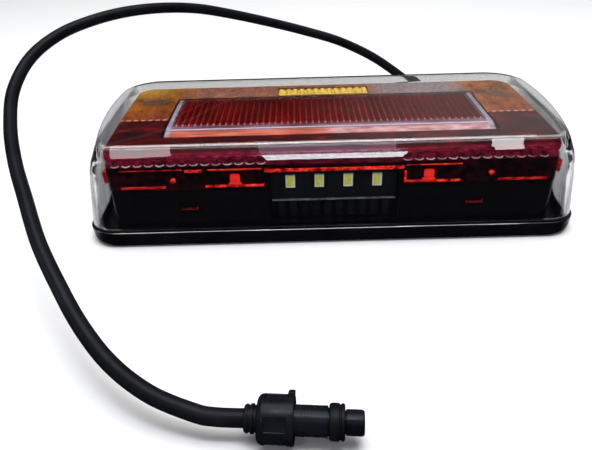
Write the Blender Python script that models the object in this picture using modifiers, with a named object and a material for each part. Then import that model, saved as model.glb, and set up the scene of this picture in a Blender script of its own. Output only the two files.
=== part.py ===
"""LED trailer tail light with a short lead and a round five-pin plug.

The origin is the middle of the flat mounting face at the back of the lamp. +Z points out through
the lens, +X runs along the lamp and +Y points to the long side where the lead leaves. Lengths and
positions below are in millimetres, and MM turns them into Blender's metres.
"""

import math

import bmesh
import bpy
from mathutils import Matrix, Vector

MM = 0.001
GAP = 0.3  # air between two pieces that would otherwise touch

# Lamp body
WIDTH, DEPTH, HEIGHT = 236.0, 103.0, 49.5
FRONT, BACK = -DEPTH / 2, DEPTH / 2
SIDE_BULGE = 3.0  # the short sides are this much fuller where they are widest than at the front
WIDEST_Y = 10.0
FRONT_RADIUS, BACK_RADIUS = 13.0, 20.0
ARC_STEPS, SIDE_STEPS = 5, 3

# Each row is a height, then how far the outline there stands inside the lamp's box along X and Y.
# A lens row ends with its side bulge and front radius, because its front corners lean inwards.
BASE_SECTIONS = ((0.0, 3.4, 2.5), (0.9, 1.8, 1.1), (2.6, 0.8, 0.3), (7.9, 0.3, 0.0))
LENS_SECTIONS = (
    (9.0, 0.9, 1.1, 3.5, 13.0),
    (18.0, 0.6, 0.9, 5.8, 12.0),
    (27.0, 1.0, 0.8, 7.2, 11.0),
    (36.0, 2.0, 0.9, 8.0, 10.5),
    (40.5, 3.0, 1.0, 8.6, 10.0),
    (43.4, 4.4, 1.2, 8.6, 10.0),
    (46.6, 5.8, 3.3, 8.0, 10.0),
    (49.0, 7.2, 4.9, 7.6, 10.0),
    (49.5, 8.2, 5.7, 7.4, 10.0),
)
BASE_TOP = BASE_SECTIONS[-1][0]
BASE_WALL, BASE_FLOOR = 2.8, 2.4
LENS_BOTTOM, LENS_WALL = LENS_SECTIONS[0][0], 2.2
SEAL_INSETS = (1.0, 2.9)

# Coloured lenses and the black bezel under them
INNER_HALF_X, INNER_FRONT, INNER_BACK = 103.5, -46.0, 41.5
INNER_FRONT_RADIUS, INNER_BACK_RADIUS, INNER_BULGE = 5.0, 10.0, 1.0
COLOUR_TOP, COLOUR_BOTTOM, COLOUR_WALL = 46.3, 27.5, 1.6
COLOUR_CHAMFER, COLOUR_SIDE_CHAMFER = 2.6, 1.2
COLOUR_SPLIT_Y = -9.4
BEZEL_TOP, BEZEL_WALL = 27.2, 1.8

# Reflex reflector and its clear frame
REFLECTOR_HALF_X, REFLECTOR_FRONT, REFLECTOR_BACK = 75.0, -16.6, 19.0
REFLECTOR_TOP, REFLECTOR_BOTTOM, RIB_PITCH, RIB_DEPTH = 46.2, 42.6, 3.0, 0.9
FRAME_HALF_X, FRAME_FRONT, FRAME_BACK = 78.6, -31.0, 21.4
FRAME_BOTTOM, FRAME_SHOULDER, FRAME_SLOPE_TOP_Y = 38.0, 43.8, -21.6

# Number plate light in the middle of the front wall
PLATE_X = 0.9
PLATE_HALF_X, PLATE_BOTTOM, PLATE_TOP = 29.6, 9.6, 34.8
PLATE_LED_Z, PLATE_LED_PITCH = 29.4, 13.2
PLATE_LED_SIZE = (4.3, 1.1, 6.4)
PLATE_BOARD_BACK = -40.6

# Main board, its lights and electronics
BOARD_HALF_X, BOARD_HALF_Y, BOARD_BOTTOM, BOARD_THICK = 97.0, 35.0, 14.0, 1.6
BOARD_TOP = BOARD_BOTTOM + BOARD_THICK
LED_SIZE = (5.4, 5.0, 1.6)
TAIL_LED_SPOTS = ((-89.0, -31.0), (-89.0, -18.0), (89.0, -31.0), (89.0, -18.0))
TURN_LED_SPOTS = ((-89.0, 4.0), (-89.0, 18.0), (89.0, 4.0), (89.0, 18.0))
TURN_BAR_X, TURN_BAR_Y, TURN_BAR_Z = (-25.0, 24.0), (23.6, 35.0), (43.6, 46.0)
TURN_BAR_BEADS = 12
SCREW_SPOTS = ((-62.0, -24.0), (62.0, -24.0), (-62.0, 24.0), (62.0, 24.0))
SCREW_HEAD_RADIUS, SCREW_RADIUS, SCREW_LENGTH = 2.8, 1.3, 8.0
POST_RADIUS = 4.0

# Mounting inserts, threaded M6, and the breather
INSERT_SPACING, INSERT_RADIUS, INSERT_BORE, INSERT_LENGTH = 152.0, 4.6, 2.5, 9.6
INSERT_BOSS_RADIUS, INSERT_BOSS_TOP = 7.5, 12.8
VENT_X, VENT_Y, VENT_RADIUS = -36.0, 16.0, 3.0

# Lead outlet on the back long side
OUTLET_X, OUTLET_Z, OUTLET_TOP, OUTLET_HALF_X = 84.0, 10.0, 18.6, 9.0
OUTLET_INSIDE = BACK - 4.0  # where the gland's nut sits, just inside the tray's wall
OUTLET_BORE, GLAND_NECK, GLAND_HEAD, NUT_RADIUS = 5.0, 4.6, 7.2, 6.8
BOOT_LENGTH, BOOT_START_Y = 16.0, 58.0
LEAD_RADIUS, CORE_RADIUS = 2.9, 0.75
LEAD_POINTS = 42

# Plug at the far end of the lead, lying on the surface that the lamp lies on
PLUG_POINT = Vector((-33.3, -159.1, 8.2))  # rear end of the plug, on its axis
PLUG_TURN = -4.5  # degrees that the plug's axis turns about Z away from +X
COLLAR_LENGTH, COLLAR_RADIUS = 3.6, 4.5
RING_START, RING_END, RING_RADIUS, RING_CAVITY = 4.0, 15.2, 7.55, 6.4
RING_GRIPS, RING_GRIP_DEPTH, RING_GRIP_HALF = 5, 0.5, 2.3
RING_GRIP_ANGLE = 52.5  # degrees about the plug's axis, from straight up towards the lamp's front
RING_TAB_ANGLE = -38.0
BODY_END, BODY_RADIUS, BODY_NECK = 25.3, 4.65, 4.1
SEAL_END, SEAL_RADIUS = 30.4, 5.55
NOSE_START, NOSE_END, NOSE_RADIUS, NOSE_BORE, NOSE_DEPTH = 30.7, 36.2, 3.85, 2.95, 3.4
PIN_RADIUS, PIN_CIRCLE = 0.45, 1.75

# The lead's route from the strain relief to the plug
ROUTE = (
    (84.0, 83.0, 10.3),
    (77.3, 101.0, 13.3),
    (65.0, 112.0, 21.5),
    (56.0, 115.5, 28.2),
    (37.5, 117.0, 40.5),
    (15.0, 116.5, 51.5),
    (-8.0, 114.5, 59.3),
    (-31.0, 110.0, 66.5),
    (-53.0, 101.5, 73.6),
    (-73.0, 89.5, 80.0),
    (-91.5, 75.0, 83.8),
    (-109.0, 60.5, 85.0),
    (-124.5, 46.5, 83.7),
    (-138.0, 30.5, 80.3),
    (-147.0, 11.0, 74.0),
    (-148.3, -12.5, 65.5),
    (-142.3, -36.5, 57.0),
    (-133.3, -58.5, 49.6),
    (-123.5, -77.5, 42.7),
    (-112.5, -98.0, 34.6),
    (-101.0, -115.0, 27.2),
    (-89.7, -129.7, 20.5),
    (-77.5, -142.0, 15.1),
    (-63.6, -151.5, 11.4),
    (-49.2, -157.0, 8.8),
)


# ---------------------------------------------------------------- scene and materials


def clear_scene():
    for old in list(bpy.data.objects):
        bpy.data.objects.remove(old)


def new_collection(name, hidden=False):
    made = bpy.data.collections.new(name)
    bpy.context.scene.collection.children.link(made)
    made.hide_render = hidden
    return made


clear_scene()
PARTS = new_collection("trailer_tail_light")
CUTTERS = new_collection("cutters", hidden=True)


def principled(name, colour, roughness, metallic=0.0, transmission=0.0):
    material = bpy.data.materials.new(name)
    material.use_nodes = True
    shader = material.node_tree.nodes["Principled BSDF"]
    shader.inputs["Base Color"].default_value = (*colour, 1.0)
    shader.inputs["Roughness"].default_value = roughness
    shader.inputs["Metallic"].default_value = metallic
    shader.inputs["Transmission Weight"].default_value = transmission
    material.diffuse_color = (*colour, 1.0)
    return material


BLACK_GLOSS = principled("black_gloss_plastic", (0.012, 0.012, 0.014), 0.12)
BLACK_MATT = principled("black_matt_plastic", (0.02, 0.021, 0.023), 0.45)
BLACK_RUBBER = principled("black_rubber", (0.016, 0.017, 0.019), 0.5)
CLEAR = principled("clear_plastic", (0.9, 0.92, 0.93), 0.04, transmission=0.95)
RED = principled("red_plastic", (0.42, 0.008, 0.014), 0.12, transmission=0.6)
AMBER = principled("amber_plastic", (0.75, 0.24, 0.015), 0.12, transmission=0.6)
BOARD = principled("black_circuit_board", (0.015, 0.02, 0.018), 0.4)
PHOSPHOR = principled("white_led_phosphor", (0.78, 0.8, 0.28), 0.35)
LED_RED = principled("red_led", (0.6, 0.04, 0.03), 0.3)
LED_YELLOW = principled("amber_led", (0.9, 0.55, 0.05), 0.3)
BRASS = principled("brass", (0.78, 0.56, 0.22), 0.28, metallic=1.0)
STEEL = principled("zinc_plated_steel", (0.66, 0.67, 0.68), 0.3, metallic=1.0)
CERAMIC = principled("dark_component", (0.03, 0.03, 0.035), 0.35)
CORE_COLOURS = {
    "yellow": (0.85, 0.68, 0.05),
    "green": (0.03, 0.35, 0.1),
    "white": (0.85, 0.85, 0.82),
    "red": (0.6, 0.03, 0.03),
    "brown": (0.2, 0.09, 0.04),
}


# ---------------------------------------------------------------- shapes


def place(name, data, material, helper=False):
    """A new object in the parts, or a wire-drawn helper that only cuts or joins."""
    made = bpy.data.objects.new(name, data)
    (CUTTERS if helper else PARTS).objects.link(made)
    if material is not None:
        data.materials.append(material)
    if helper:
        made.hide_render = True
        made.display_type = "WIRE"
    return made


def from_bmesh(name, shape, material, helper=False):
    bmesh.ops.recalc_face_normals(shape, faces=shape.faces)
    mesh = bpy.data.meshes.new(name)
    shape.to_mesh(mesh)
    shape.free()
    return place(name, mesh, material, helper)


def rounded_outline(half_x, front, back, front_radius, back_radius, bulge=0.0):
    """Points of a rounded rectangle, anticlockwise, whose short sides swell by bulge."""
    reach = WIDEST_Y - front
    straight_x = half_x - bulge
    corners = (
        (1, front + front_radius, front_radius, -90),
        (1, back - back_radius, back_radius, 0),
        (-1, back - back_radius, back_radius, 90),
        (-1, front + front_radius, front_radius, 180),
    )
    points = []
    for index, (side, centre_y, radius, start) in enumerate(corners):
        centre_x = side * (straight_x - radius)
        for step in range(ARC_STEPS + 1):
            angle = math.radians(start + 90 * step / ARC_STEPS)
            points.append((centre_x + radius * math.cos(angle), centre_y + radius * math.sin(angle)))
        if index in (0, 2):
            next_y = corners[index + 1][1]
            for step in range(1, SIDE_STEPS + 1):
                share = step / (SIDE_STEPS + 1)
                points.append((side * straight_x, centre_y + (next_y - centre_y) * share))
    return [
        (x * (1 + bulge / straight_x * (1 - ((y - WIDEST_Y) / reach) ** 2)), y) for x, y in points
    ]


def lamp_outline(inset_x, inset_y, bulge=SIDE_BULGE, front_radius=FRONT_RADIUS):
    return rounded_outline(
        WIDTH / 2 - inset_x,
        FRONT + inset_y,
        BACK - inset_y,
        front_radius - 0.8 * inset_y,
        BACK_RADIUS - 0.8 * inset_y,
        bulge,
    )


def inner_outline(inset, side_inset=None):
    return rounded_outline(
        INNER_HALF_X - (inset if side_inset is None else side_inset),
        INNER_FRONT + inset,
        INNER_BACK - inset,
        INNER_FRONT_RADIUS - 0.6 * inset,
        INNER_BACK_RADIUS - 0.6 * inset,
        INNER_BULGE,
    )


def rectangle(low_x, high_x, low_y, high_y):
    return [(low_x, low_y), (high_x, low_y), (high_x, high_y), (low_x, high_y)]


def loft(name, rings, material, closed=False, helper=False):
    """A skin through rings of (height, outline), capped at both ends or closed on itself."""
    shape = bmesh.new()
    loops = [[shape.verts.new((x * MM, y * MM, z * MM)) for x, y in points] for z, points in rings]
    pairs = list(zip(loops, loops[1:]))
    if closed:
        pairs.append((loops[-1], loops[0]))
    else:
        shape.faces.new(loops[0])
        shape.faces.new(loops[-1])
    for lower, upper in pairs:
        for index in range(len(lower)):
            after = (index + 1) % len(lower)
            shape.faces.new((lower[index], lower[after], upper[after], upper[index]))
    return from_bmesh(name, shape, material, helper)


def box(name, low, high, material=None, bevel=0.0, helper=False):
    """A box from its low to its high corner, with its edges rounded by bevel."""
    low, high = Vector(low) * MM, Vector(high) * MM
    shape = bmesh.new()
    matrix = Matrix.Translation((low + high) / 2) @ Matrix.Diagonal((*(high - low), 1.0))
    bmesh.ops.create_cube(shape, size=1.0, matrix=matrix)
    made = from_bmesh(name, shape, material, helper)
    if bevel:
        modifier = made.modifiers.new("rounding", "BEVEL")
        modifier.width = bevel * MM
        modifier.segments = 1
    return made


def rod(name, start, end, radius, material=None, segments=16, helper=False):
    """A straight cylinder between two points."""
    start, end = Vector(start) * MM, Vector(end) * MM
    shape = bmesh.new()
    turn = (end - start).to_track_quat("Z", "Y").to_matrix().to_4x4()
    bmesh.ops.create_cone(
        shape,
        cap_ends=True,
        segments=segments,
        radius1=radius * MM,
        radius2=radius * MM,
        depth=(end - start).length,
        matrix=Matrix.Translation((start + end) / 2) @ turn,
    )
    return from_bmesh(name, shape, material, helper)


def upright(name, x, y, low_z, high_z, radius, segments=16):
    """A helper cylinder that stands along Z."""
    return rod(name, (x, y, low_z), (x, y, high_z), radius, segments=segments, helper=True)


def turned(name, profile, material, matrix, steps=24, ring=False, helper=False):
    """A solid of revolution about its own Z. The profile of (radius, height) starts at the top and
    runs down the outer side, and a ring's profile closes on itself round its bore."""
    mesh = bpy.data.meshes.new(name)
    edges = [(index, index + 1) for index in range(len(profile) - 1)]
    if ring:
        edges.append((len(profile) - 1, 0))
    mesh.from_pydata([(radius * MM, 0.0, height * MM) for radius, height in profile], edges, [])
    made = place(name, mesh, material, helper)
    made.matrix_world = matrix
    screw = made.modifiers.new("turn", "SCREW")
    screw.steps = screw.render_steps = steps
    screw.use_merge_vertices = True
    screw.merge_threshold = 0.00001
    screw.use_smooth_shade = True
    return made


def combine(target, operation, others):
    """Cuts the others out of the target, joins them to it, or keeps only what they share."""
    for other in others:
        modifier = target.modifiers.new(other.name, "BOOLEAN")
        modifier.operation = operation
        modifier.object = other
    return target


def along(point, direction):
    """A placing matrix whose Z runs along direction from point."""
    turn = Vector(direction).to_track_quat("Z", "Y").to_matrix().to_4x4()
    return Matrix.Translation(Vector(point) * MM) @ turn


# ---------------------------------------------------------------- casing


def base_housing():
    """The black tray, with posts for the board, bosses for the inserts and a tab for the lead."""
    outer = [(z, lamp_outline(inset_x, inset_y)) for z, inset_x, inset_y in BASE_SECTIONS]
    wall = BASE_WALL
    inner = [
        (BASE_TOP, lamp_outline(wall + 0.4, wall + 0.4)),
        (BASE_FLOOR, lamp_outline(wall + 0.8, wall + 0.8)),
    ]
    base = loft("base_housing", outer + inner, BLACK_GLOSS)
    raised = [
        upright(f"post_{index}", x, y, BASE_FLOOR - 1, BOARD_BOTTOM - GAP, POST_RADIUS)
        for index, (x, y) in enumerate(SCREW_SPOTS)
    ]
    for side in (-1, 1):
        x = side * INSERT_SPACING / 2
        raised.append(upright(f"boss_{side}", x, 0, BASE_FLOOR - 1, INSERT_BOSS_TOP, INSERT_BOSS_RADIUS))
    raised.append(
        box(
            "lead_tab",
            (OUTLET_X - OUTLET_HALF_X, BACK - 3.1, BASE_FLOOR - 1),
            (OUTLET_X + OUTLET_HALF_X, BACK - 0.1, OUTLET_TOP),
            helper=True,
        )
    )
    combine(base, "UNION", raised)
    holes = [
        upright(f"post_hole_{index}", x, y, BASE_FLOOR + 2, BOARD_TOP, SCREW_RADIUS + GAP)
        for index, (x, y) in enumerate(SCREW_SPOTS)
    ]
    for side in (-1, 1):
        x = side * INSERT_SPACING / 2
        holes.append(
            upright(f"insert_hole_{side}", x, 0, -1, INSERT_LENGTH + GAP, INSERT_RADIUS + GAP, segments=24)
        )
    holes.append(upright("vent_hole", VENT_X, VENT_Y, -1, BASE_FLOOR + 2, VENT_RADIUS + GAP))
    holes.append(
        rod("lead_hole", at_depth(BACK - 6), at_depth(BACK + 1), OUTLET_BORE, segments=24, helper=True)
    )
    return combine(base, "DIFFERENCE", holes)


def lens_notch(name, extra, bottom, top):
    """The helper that clears the lead's tab out of the back wall."""
    half = OUTLET_HALF_X + extra
    return box(name, (OUTLET_X - half, BACK - 6.0, bottom), (OUTLET_X + half, BACK + 2.0, top), helper=True)


def lens_seal():
    """A thin weld bead that lies between the tray's rim and the lens's rim, open at the lead's tab."""
    outer, inner = SEAL_INSETS
    low, high = BASE_TOP + GAP, LENS_BOTTOM - GAP
    rings = [
        (low, lamp_outline(outer, outer)),
        (high, lamp_outline(outer, outer)),
        (high, lamp_outline(inner, inner)),
        (low, lamp_outline(inner, inner)),
    ]
    seal = loft("lens_seal", rings, BLACK_RUBBER, closed=True)
    return combine(seal, "DIFFERENCE", [lens_notch("seal_notch", GAP, BASE_TOP, LENS_BOTTOM)])


def outer_lens():
    """The clear cover, open below, with a raised plate window in the middle of its front wall."""
    outer = [(row[0], lamp_outline(*row[1:])) for row in reversed(LENS_SECTIONS)]
    inner = []
    for z, inset_x, inset_y, bulge, radius in LENS_SECTIONS[:-1]:
        rise = max(0.0, (z - 40.5) / (HEIGHT - 40.5))
        step = LENS_WALL * (1 - 0.45 * rise)
        inner.append((z - LENS_WALL * rise, lamp_outline(inset_x + step, inset_y + step, bulge, radius)))
    inner.append((HEIGHT - LENS_WALL, lamp_outline(10.4, 7.8, *LENS_SECTIONS[-1][3:])))
    lens = loft("outer_lens", outer + inner, CLEAR)
    low_x, high_x = PLATE_X - PLATE_HALF_X + 0.3, PLATE_X + PLATE_HALF_X - 0.3
    window = loft(
        "plate_window",
        [
            (PLATE_BOTTOM, rectangle(low_x, high_x, FRONT + 0.2, FRONT + 2.0)),
            (42.4, rectangle(low_x, high_x, FRONT + 0.2, FRONT + 2.0)),
            (45.4, rectangle(low_x - 3.0, high_x + 3.0, FRONT + 2.4, FRONT + 4.2)),
        ],
        None,
        helper=True,
    )
    combine(lens, "UNION", [window])
    return combine(lens, "DIFFERENCE", [lens_notch("lens_notch", GAP, LENS_BOTTOM - 1, OUTLET_TOP + GAP)])


def colour_cap(name, material, low_y, high_y):
    """One end of the coloured inner lens: a cap with a chamfered edge, open for the reflector."""
    rings = [
        (COLOUR_BOTTOM, inner_outline(0)),
        (COLOUR_TOP - COLOUR_CHAMFER, inner_outline(0)),
        (COLOUR_TOP, inner_outline(COLOUR_CHAMFER, COLOUR_SIDE_CHAMFER)),
    ]
    shoulder = COLOUR_CHAMFER + 0.4 * COLOUR_WALL, COLOUR_SIDE_CHAMFER + 0.9 * COLOUR_WALL
    inner = [
        (COLOUR_TOP - COLOUR_WALL, inner_outline(*shoulder)),
        (COLOUR_TOP - COLOUR_CHAMFER - 0.3 * COLOUR_WALL, inner_outline(COLOUR_WALL)),
        (COLOUR_BOTTOM, inner_outline(COLOUR_WALL)),
    ]
    cap = loft(name, list(reversed(rings)) + list(reversed(inner)), material)
    reach = WIDTH
    half = box(f"{name}_half", (-reach, low_y, 0), (reach, high_y, reach), helper=True)
    combine(cap, "INTERSECT", [half])
    opening = box(
        f"{name}_opening",
        (-FRAME_HALF_X - GAP, FRAME_FRONT - GAP, 0),
        (FRAME_HALF_X + GAP, FRAME_BACK + GAP, reach),
        helper=True,
    )
    return combine(cap, "DIFFERENCE", [opening])


def red_inner_lens():
    lens = colour_cap("red_inner_lens", RED, INNER_FRONT - 10, COLOUR_SPLIT_Y - GAP / 2)
    notch = box(
        "plate_notch",
        (PLATE_X - PLATE_HALF_X - 2.2, INNER_FRONT - 5, 0),
        (PLATE_X + PLATE_HALF_X + 2.2, INNER_FRONT + 5, PLATE_TOP + 1.1),
        helper=True,
    )
    return combine(lens, "DIFFERENCE", [notch])


def amber_inner_lens():
    lens = colour_cap("amber_inner_lens", AMBER, COLOUR_SPLIT_Y + GAP / 2, INNER_BACK + 10)
    slot = box(
        "bar_slot",
        (TURN_BAR_X[0] - GAP, TURN_BAR_Y[0] - GAP, 0),
        (TURN_BAR_X[1] + GAP, TURN_BAR_Y[1] + GAP, HEIGHT),
        helper=True,
    )
    return combine(lens, "DIFFERENCE", [slot])


def inner_bezel():
    """The black wall inside the clear cover, with the number plate light's recess at its front."""
    rings = [
        (BASE_FLOOR + GAP, inner_outline(0.4)),
        (BEZEL_TOP, inner_outline(0.4)),
        (BEZEL_TOP, inner_outline(0.4 + BEZEL_WALL)),
        (BASE_FLOOR + GAP, inner_outline(0.4 + BEZEL_WALL)),
    ]
    bezel = loft("inner_bezel", rings, BLACK_GLOSS, closed=True)
    low_x, high_x = PLATE_X - PLATE_HALF_X, PLATE_X + PLATE_HALF_X
    block = box(
        "recess_block",
        (low_x - 1.8, INNER_FRONT - 0.6, PLATE_BOTTOM - 1.2),
        (high_x + 1.8, PLATE_BOARD_BACK + 1.7, PLATE_TOP + 0.7),
        helper=True,
    )
    combine(bezel, "UNION", [block])
    recess = box(
        "recess",
        (low_x, INNER_FRONT - 5, PLATE_BOTTOM),
        (high_x, PLATE_BOARD_BACK + 0.3, PLATE_TOP),
        helper=True,
    )
    core_way = box(
        "core_way",
        (OUTLET_X - 8, INNER_BACK - 5, BASE_FLOOR),
        (OUTLET_X + 8, INNER_BACK + 2, OUTLET_TOP),
        helper=True,
    )
    return combine(bezel, "DIFFERENCE", [recess, core_way])


# ---------------------------------------------------------------- reflector and lights


def reflector_frame():
    """The clear surround of the reflex reflector, with a long slope on its front side."""
    bore = rectangle(
        -REFLECTOR_HALF_X - GAP, REFLECTOR_HALF_X + GAP, REFLECTOR_FRONT - GAP, REFLECTOR_BACK + GAP
    )
    foot = rectangle(-FRAME_HALF_X, FRAME_HALF_X, FRAME_FRONT, FRAME_BACK)
    crown = rectangle(-FRAME_HALF_X + 1.2, FRAME_HALF_X - 1.2, FRAME_SLOPE_TOP_Y, FRAME_BACK - 0.8)
    outside = [(FRAME_BOTTOM, foot), (FRAME_SHOULDER, foot), (COLOUR_TOP, crown)]
    inside = [(COLOUR_TOP, bore), (FRAME_BOTTOM, bore)]
    return loft("reflector_frame", outside + inside, CLEAR, closed=True)


def reflex_reflector():
    """The red block whose top is ribbed from front to back, as one outline with a length."""
    ribs = round(2 * REFLECTOR_HALF_X / RIB_PITCH)
    points = [(REFLECTOR_HALF_X, REFLECTOR_BOTTOM), (-REFLECTOR_HALF_X, REFLECTOR_BOTTOM)]
    for index in range(ribs):
        left = -REFLECTOR_HALF_X + index * RIB_PITCH
        points.append((left, REFLECTOR_TOP - RIB_DEPTH))
        points.append((left + RIB_PITCH / 2, REFLECTOR_TOP))
    points.append((REFLECTOR_HALF_X, REFLECTOR_TOP - RIB_DEPTH))
    curve = bpy.data.curves.new("reflex_reflector", "CURVE")
    curve.dimensions = "2D"
    curve.fill_mode = "BOTH"
    curve.extrude = (REFLECTOR_BACK - REFLECTOR_FRONT) / 2 * MM
    spline = curve.splines.new("POLY")
    spline.points.add(len(points) - 1)
    for point, (x, z) in zip(spline.points, points):
        point.co = (x * MM, z * MM, 0.0, 1.0)
    spline.use_cyclic_u = True
    reflector = place("reflex_reflector", curve, RED)
    reflector.matrix_world = Matrix.Translation(
        (0.0, (REFLECTOR_FRONT + REFLECTOR_BACK) / 2 * MM, 0.0)
    ) @ Matrix.Rotation(math.radians(90), 4, "X")
    return reflector


def led(name, low, high, outward, material):
    """A chip package: a box whose outward face is stepped in to its window."""
    low, high, outward = Vector(low) * MM, Vector(high) * MM, Vector(outward)
    shape = bmesh.new()
    matrix = Matrix.Translation((low + high) / 2) @ Matrix.Diagonal((*(high - low), 1.0))
    bmesh.ops.create_cube(shape, size=1.0, matrix=matrix)
    shape.normal_update()
    window = max(shape.faces, key=lambda face: face.normal.dot(outward))
    bmesh.ops.inset_individual(shape, faces=[window], thickness=0.6 * MM)
    bmesh.ops.translate(shape, verts=window.verts, vec=outward * (-0.25 * MM))
    return from_bmesh(name, shape, material)


def board_leds():
    """The stop, tail and turn lights on the main board."""
    half_x, half_y, height = LED_SIZE[0] / 2, LED_SIZE[1] / 2, LED_SIZE[2]
    low_z = BOARD_TOP + GAP
    kinds = (("tail_led", TAIL_LED_SPOTS, LED_RED), ("turn_led", TURN_LED_SPOTS, LED_YELLOW))
    for kind, spots, material in kinds:
        for index, (x, y) in enumerate(spots, 1):
            low = (x - half_x, y - half_y, low_z)
            high = (x + half_x, y + half_y, low_z + height)
            led(f"{kind}_{index}", low, high, (0, 0, 1), material)


def turn_light_bar():
    """A slim bar of turn lights that shows through a slot in the amber lens, one bead per chip."""
    bar = box(
        "turn_light_bar",
        (TURN_BAR_X[0], TURN_BAR_Y[0], TURN_BAR_Z[0]),
        (TURN_BAR_X[1], TURN_BAR_Y[1], TURN_BAR_Z[1] - 0.9),
        LED_YELLOW,
    )
    pitch = (TURN_BAR_X[1] - TURN_BAR_X[0]) / TURN_BAR_BEADS
    beads = []
    for index in range(TURN_BAR_BEADS):
        x = TURN_BAR_X[0] + (index + 0.5) * pitch
        beads.append(
            box(
                f"bead_{index}",
                (x - 0.36 * pitch, TURN_BAR_Y[0] + 0.8, TURN_BAR_Z[0] + 0.5),
                (x + 0.36 * pitch, TURN_BAR_Y[1] - 0.8, TURN_BAR_Z[1]),
                helper=True,
            )
        )
    return combine(bar, "UNION", beads)


def main_circuit_board():
    board = box(
        "main_circuit_board",
        (-BOARD_HALF_X, -BOARD_HALF_Y, BOARD_BOTTOM),
        (BOARD_HALF_X, BOARD_HALF_Y, BOARD_TOP),
        BOARD,
    )
    holes = [
        upright(f"board_hole_{index}", x, y, 0, HEIGHT, SCREW_RADIUS + GAP)
        for index, (x, y) in enumerate(SCREW_SPOTS)
    ]
    return combine(board, "DIFFERENCE", holes)


def board_screws():
    """Pan-head screws that hold the board on the tray's posts."""
    seat = BOARD_TOP + GAP
    for index, (x, y) in enumerate(SCREW_SPOTS, 1):
        profile = (
            (0.0, 1.8),
            (0.6 * SCREW_HEAD_RADIUS, 1.7),
            (SCREW_HEAD_RADIUS, 1.0),
            (SCREW_HEAD_RADIUS, 0.0),
            (SCREW_RADIUS, 0.0),
            (SCREW_RADIUS, -SCREW_LENGTH + 1.0),
            (0.0, -SCREW_LENGTH),
        )
        turned(f"board_screw_{index}", profile, STEEL, along((x, y, seat), (0, 0, 1)), steps=12)


def board_components():
    """The driver, a smoothing capacitor, a diode and two resistors between the board's screws."""
    low_z = BOARD_TOP + GAP
    box("driver_chip", (-6.0, 22.0, low_z), (4.0, 30.0, low_z + 1.8), CERAMIC, bevel=0.3)
    rod("smoothing_capacitor", (18.0, 26.0, low_z), (18.0, 26.0, low_z + 7.5), 4.0, CERAMIC)
    box("input_diode", (30.0, 23.0, low_z), (37.0, 28.0, low_z + 2.3), CERAMIC, bevel=0.3)
    for index, x in enumerate((-24.0, -16.0), 1):
        box(f"resistor_{index}", (x, 24.0, low_z), (x + 6.3, 27.2, low_z + 0.7), CERAMIC, bevel=0.15)


def number_plate_light():
    """The upright board behind the plate window and its white lights."""
    half_x = PLATE_HALF_X - 0.6
    board_front = PLATE_BOARD_BACK - 1.6
    box(
        "plate_circuit_board",
        (PLATE_X - half_x, board_front, PLATE_BOTTOM + 0.5),
        (PLATE_X + half_x, PLATE_BOARD_BACK, PLATE_TOP - 0.5),
        BOARD,
    )
    width, thick, height = PLATE_LED_SIZE
    for index in range(4):
        x = PLATE_X + (index - 1.5) * PLATE_LED_PITCH
        low = (x - width / 2, board_front - GAP - thick, PLATE_LED_Z - height / 2)
        high = (x + width / 2, board_front - GAP, PLATE_LED_Z + height / 2)
        led(f"plate_led_{index + 1}", low, high, (0, -1, 0), PHOSPHOR)


# ---------------------------------------------------------------- fastening and breathing


def mounting_inserts():
    """Brass inserts in the tray, open at the mounting face for the bolts that hold the lamp."""
    for name, side in (("left", -1), ("right", 1)):
        profile = (
            (INSERT_RADIUS, INSERT_LENGTH),
            (INSERT_RADIUS, 6.2),
            (INSERT_RADIUS - 0.5, 5.8),
            (INSERT_RADIUS - 0.5, 4.2),
            (INSERT_RADIUS, 3.8),
            (INSERT_RADIUS, 0.0),
            (INSERT_BORE, 0.0),
            (INSERT_BORE, INSERT_LENGTH),
        )
        x = side * INSERT_SPACING / 2
        turned(f"mounting_insert_{name}", profile, BRASS, along((x, 0, 0), (0, 0, 1)), ring=True)


def breather_vent():
    profile = ((0.0, 3.6), (VENT_RADIUS - 0.8, 3.4), (VENT_RADIUS, 2.8), (VENT_RADIUS, 0.4), (0.0, 0.4))
    return turned("breather_vent", profile, BLACK_MATT, along((VENT_X, VENT_Y, 0), (0, 0, 1)), steps=16)


# ---------------------------------------------------------------- lead outlet and cores


def at_depth(y):
    """The point on the outlet's axis at that y."""
    return (OUTLET_X, y, OUTLET_Z)


def cable_outlet():
    """The gland through the tray's tab, the nut inside it and the tapered strain relief outside."""
    outlet = along((OUTLET_X, 0, OUTLET_Z), (0, 1, 0))
    inside = OUTLET_INSIDE
    gland = (
        (0.0, BOOT_START_Y - GAP),
        (GLAND_HEAD - 1.2, BOOT_START_Y - GAP),
        (GLAND_HEAD, BOOT_START_Y - GAP - 1.2),
        (GLAND_HEAD, BACK + GAP),
        (GLAND_NECK, BACK + GAP),
        (GLAND_NECK, inside - 3.0),
        (0.0, inside - 3.0),
    )
    turned("cable_gland", gland, BLACK_MATT, outlet)
    nut = rod("gland_nut", at_depth(inside - 2.4), at_depth(inside), NUT_RADIUS, BLACK_MATT, segments=6)
    bore_radius = GLAND_NECK + GAP
    bore = rod("nut_bore", at_depth(inside - 4), at_depth(inside + 1), bore_radius, segments=24, helper=True)
    combine(nut, "DIFFERENCE", [bore])
    tip = BOOT_START_Y + BOOT_LENGTH
    boot = [(0.0, tip), (3.5, tip)]
    grooves = 4
    for index in range(grooves):
        high = tip - 2.0 - index * (BOOT_LENGTH - 4.0) / grooves
        radius = 3.6 + 1.6 * (index + 0.5) / grooves
        boot += [(radius, high), (radius - 0.5, high - 0.8)]
        boot += [(radius - 0.5, high - 1.8), (radius + 0.2, high - 2.4)]
    boot += [(5.6, BOOT_START_Y + 1.2), (5.6, BOOT_START_Y), (0.0, BOOT_START_Y)]
    turned("cable_strain_relief", boot, BLACK_RUBBER, outlet)


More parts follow.
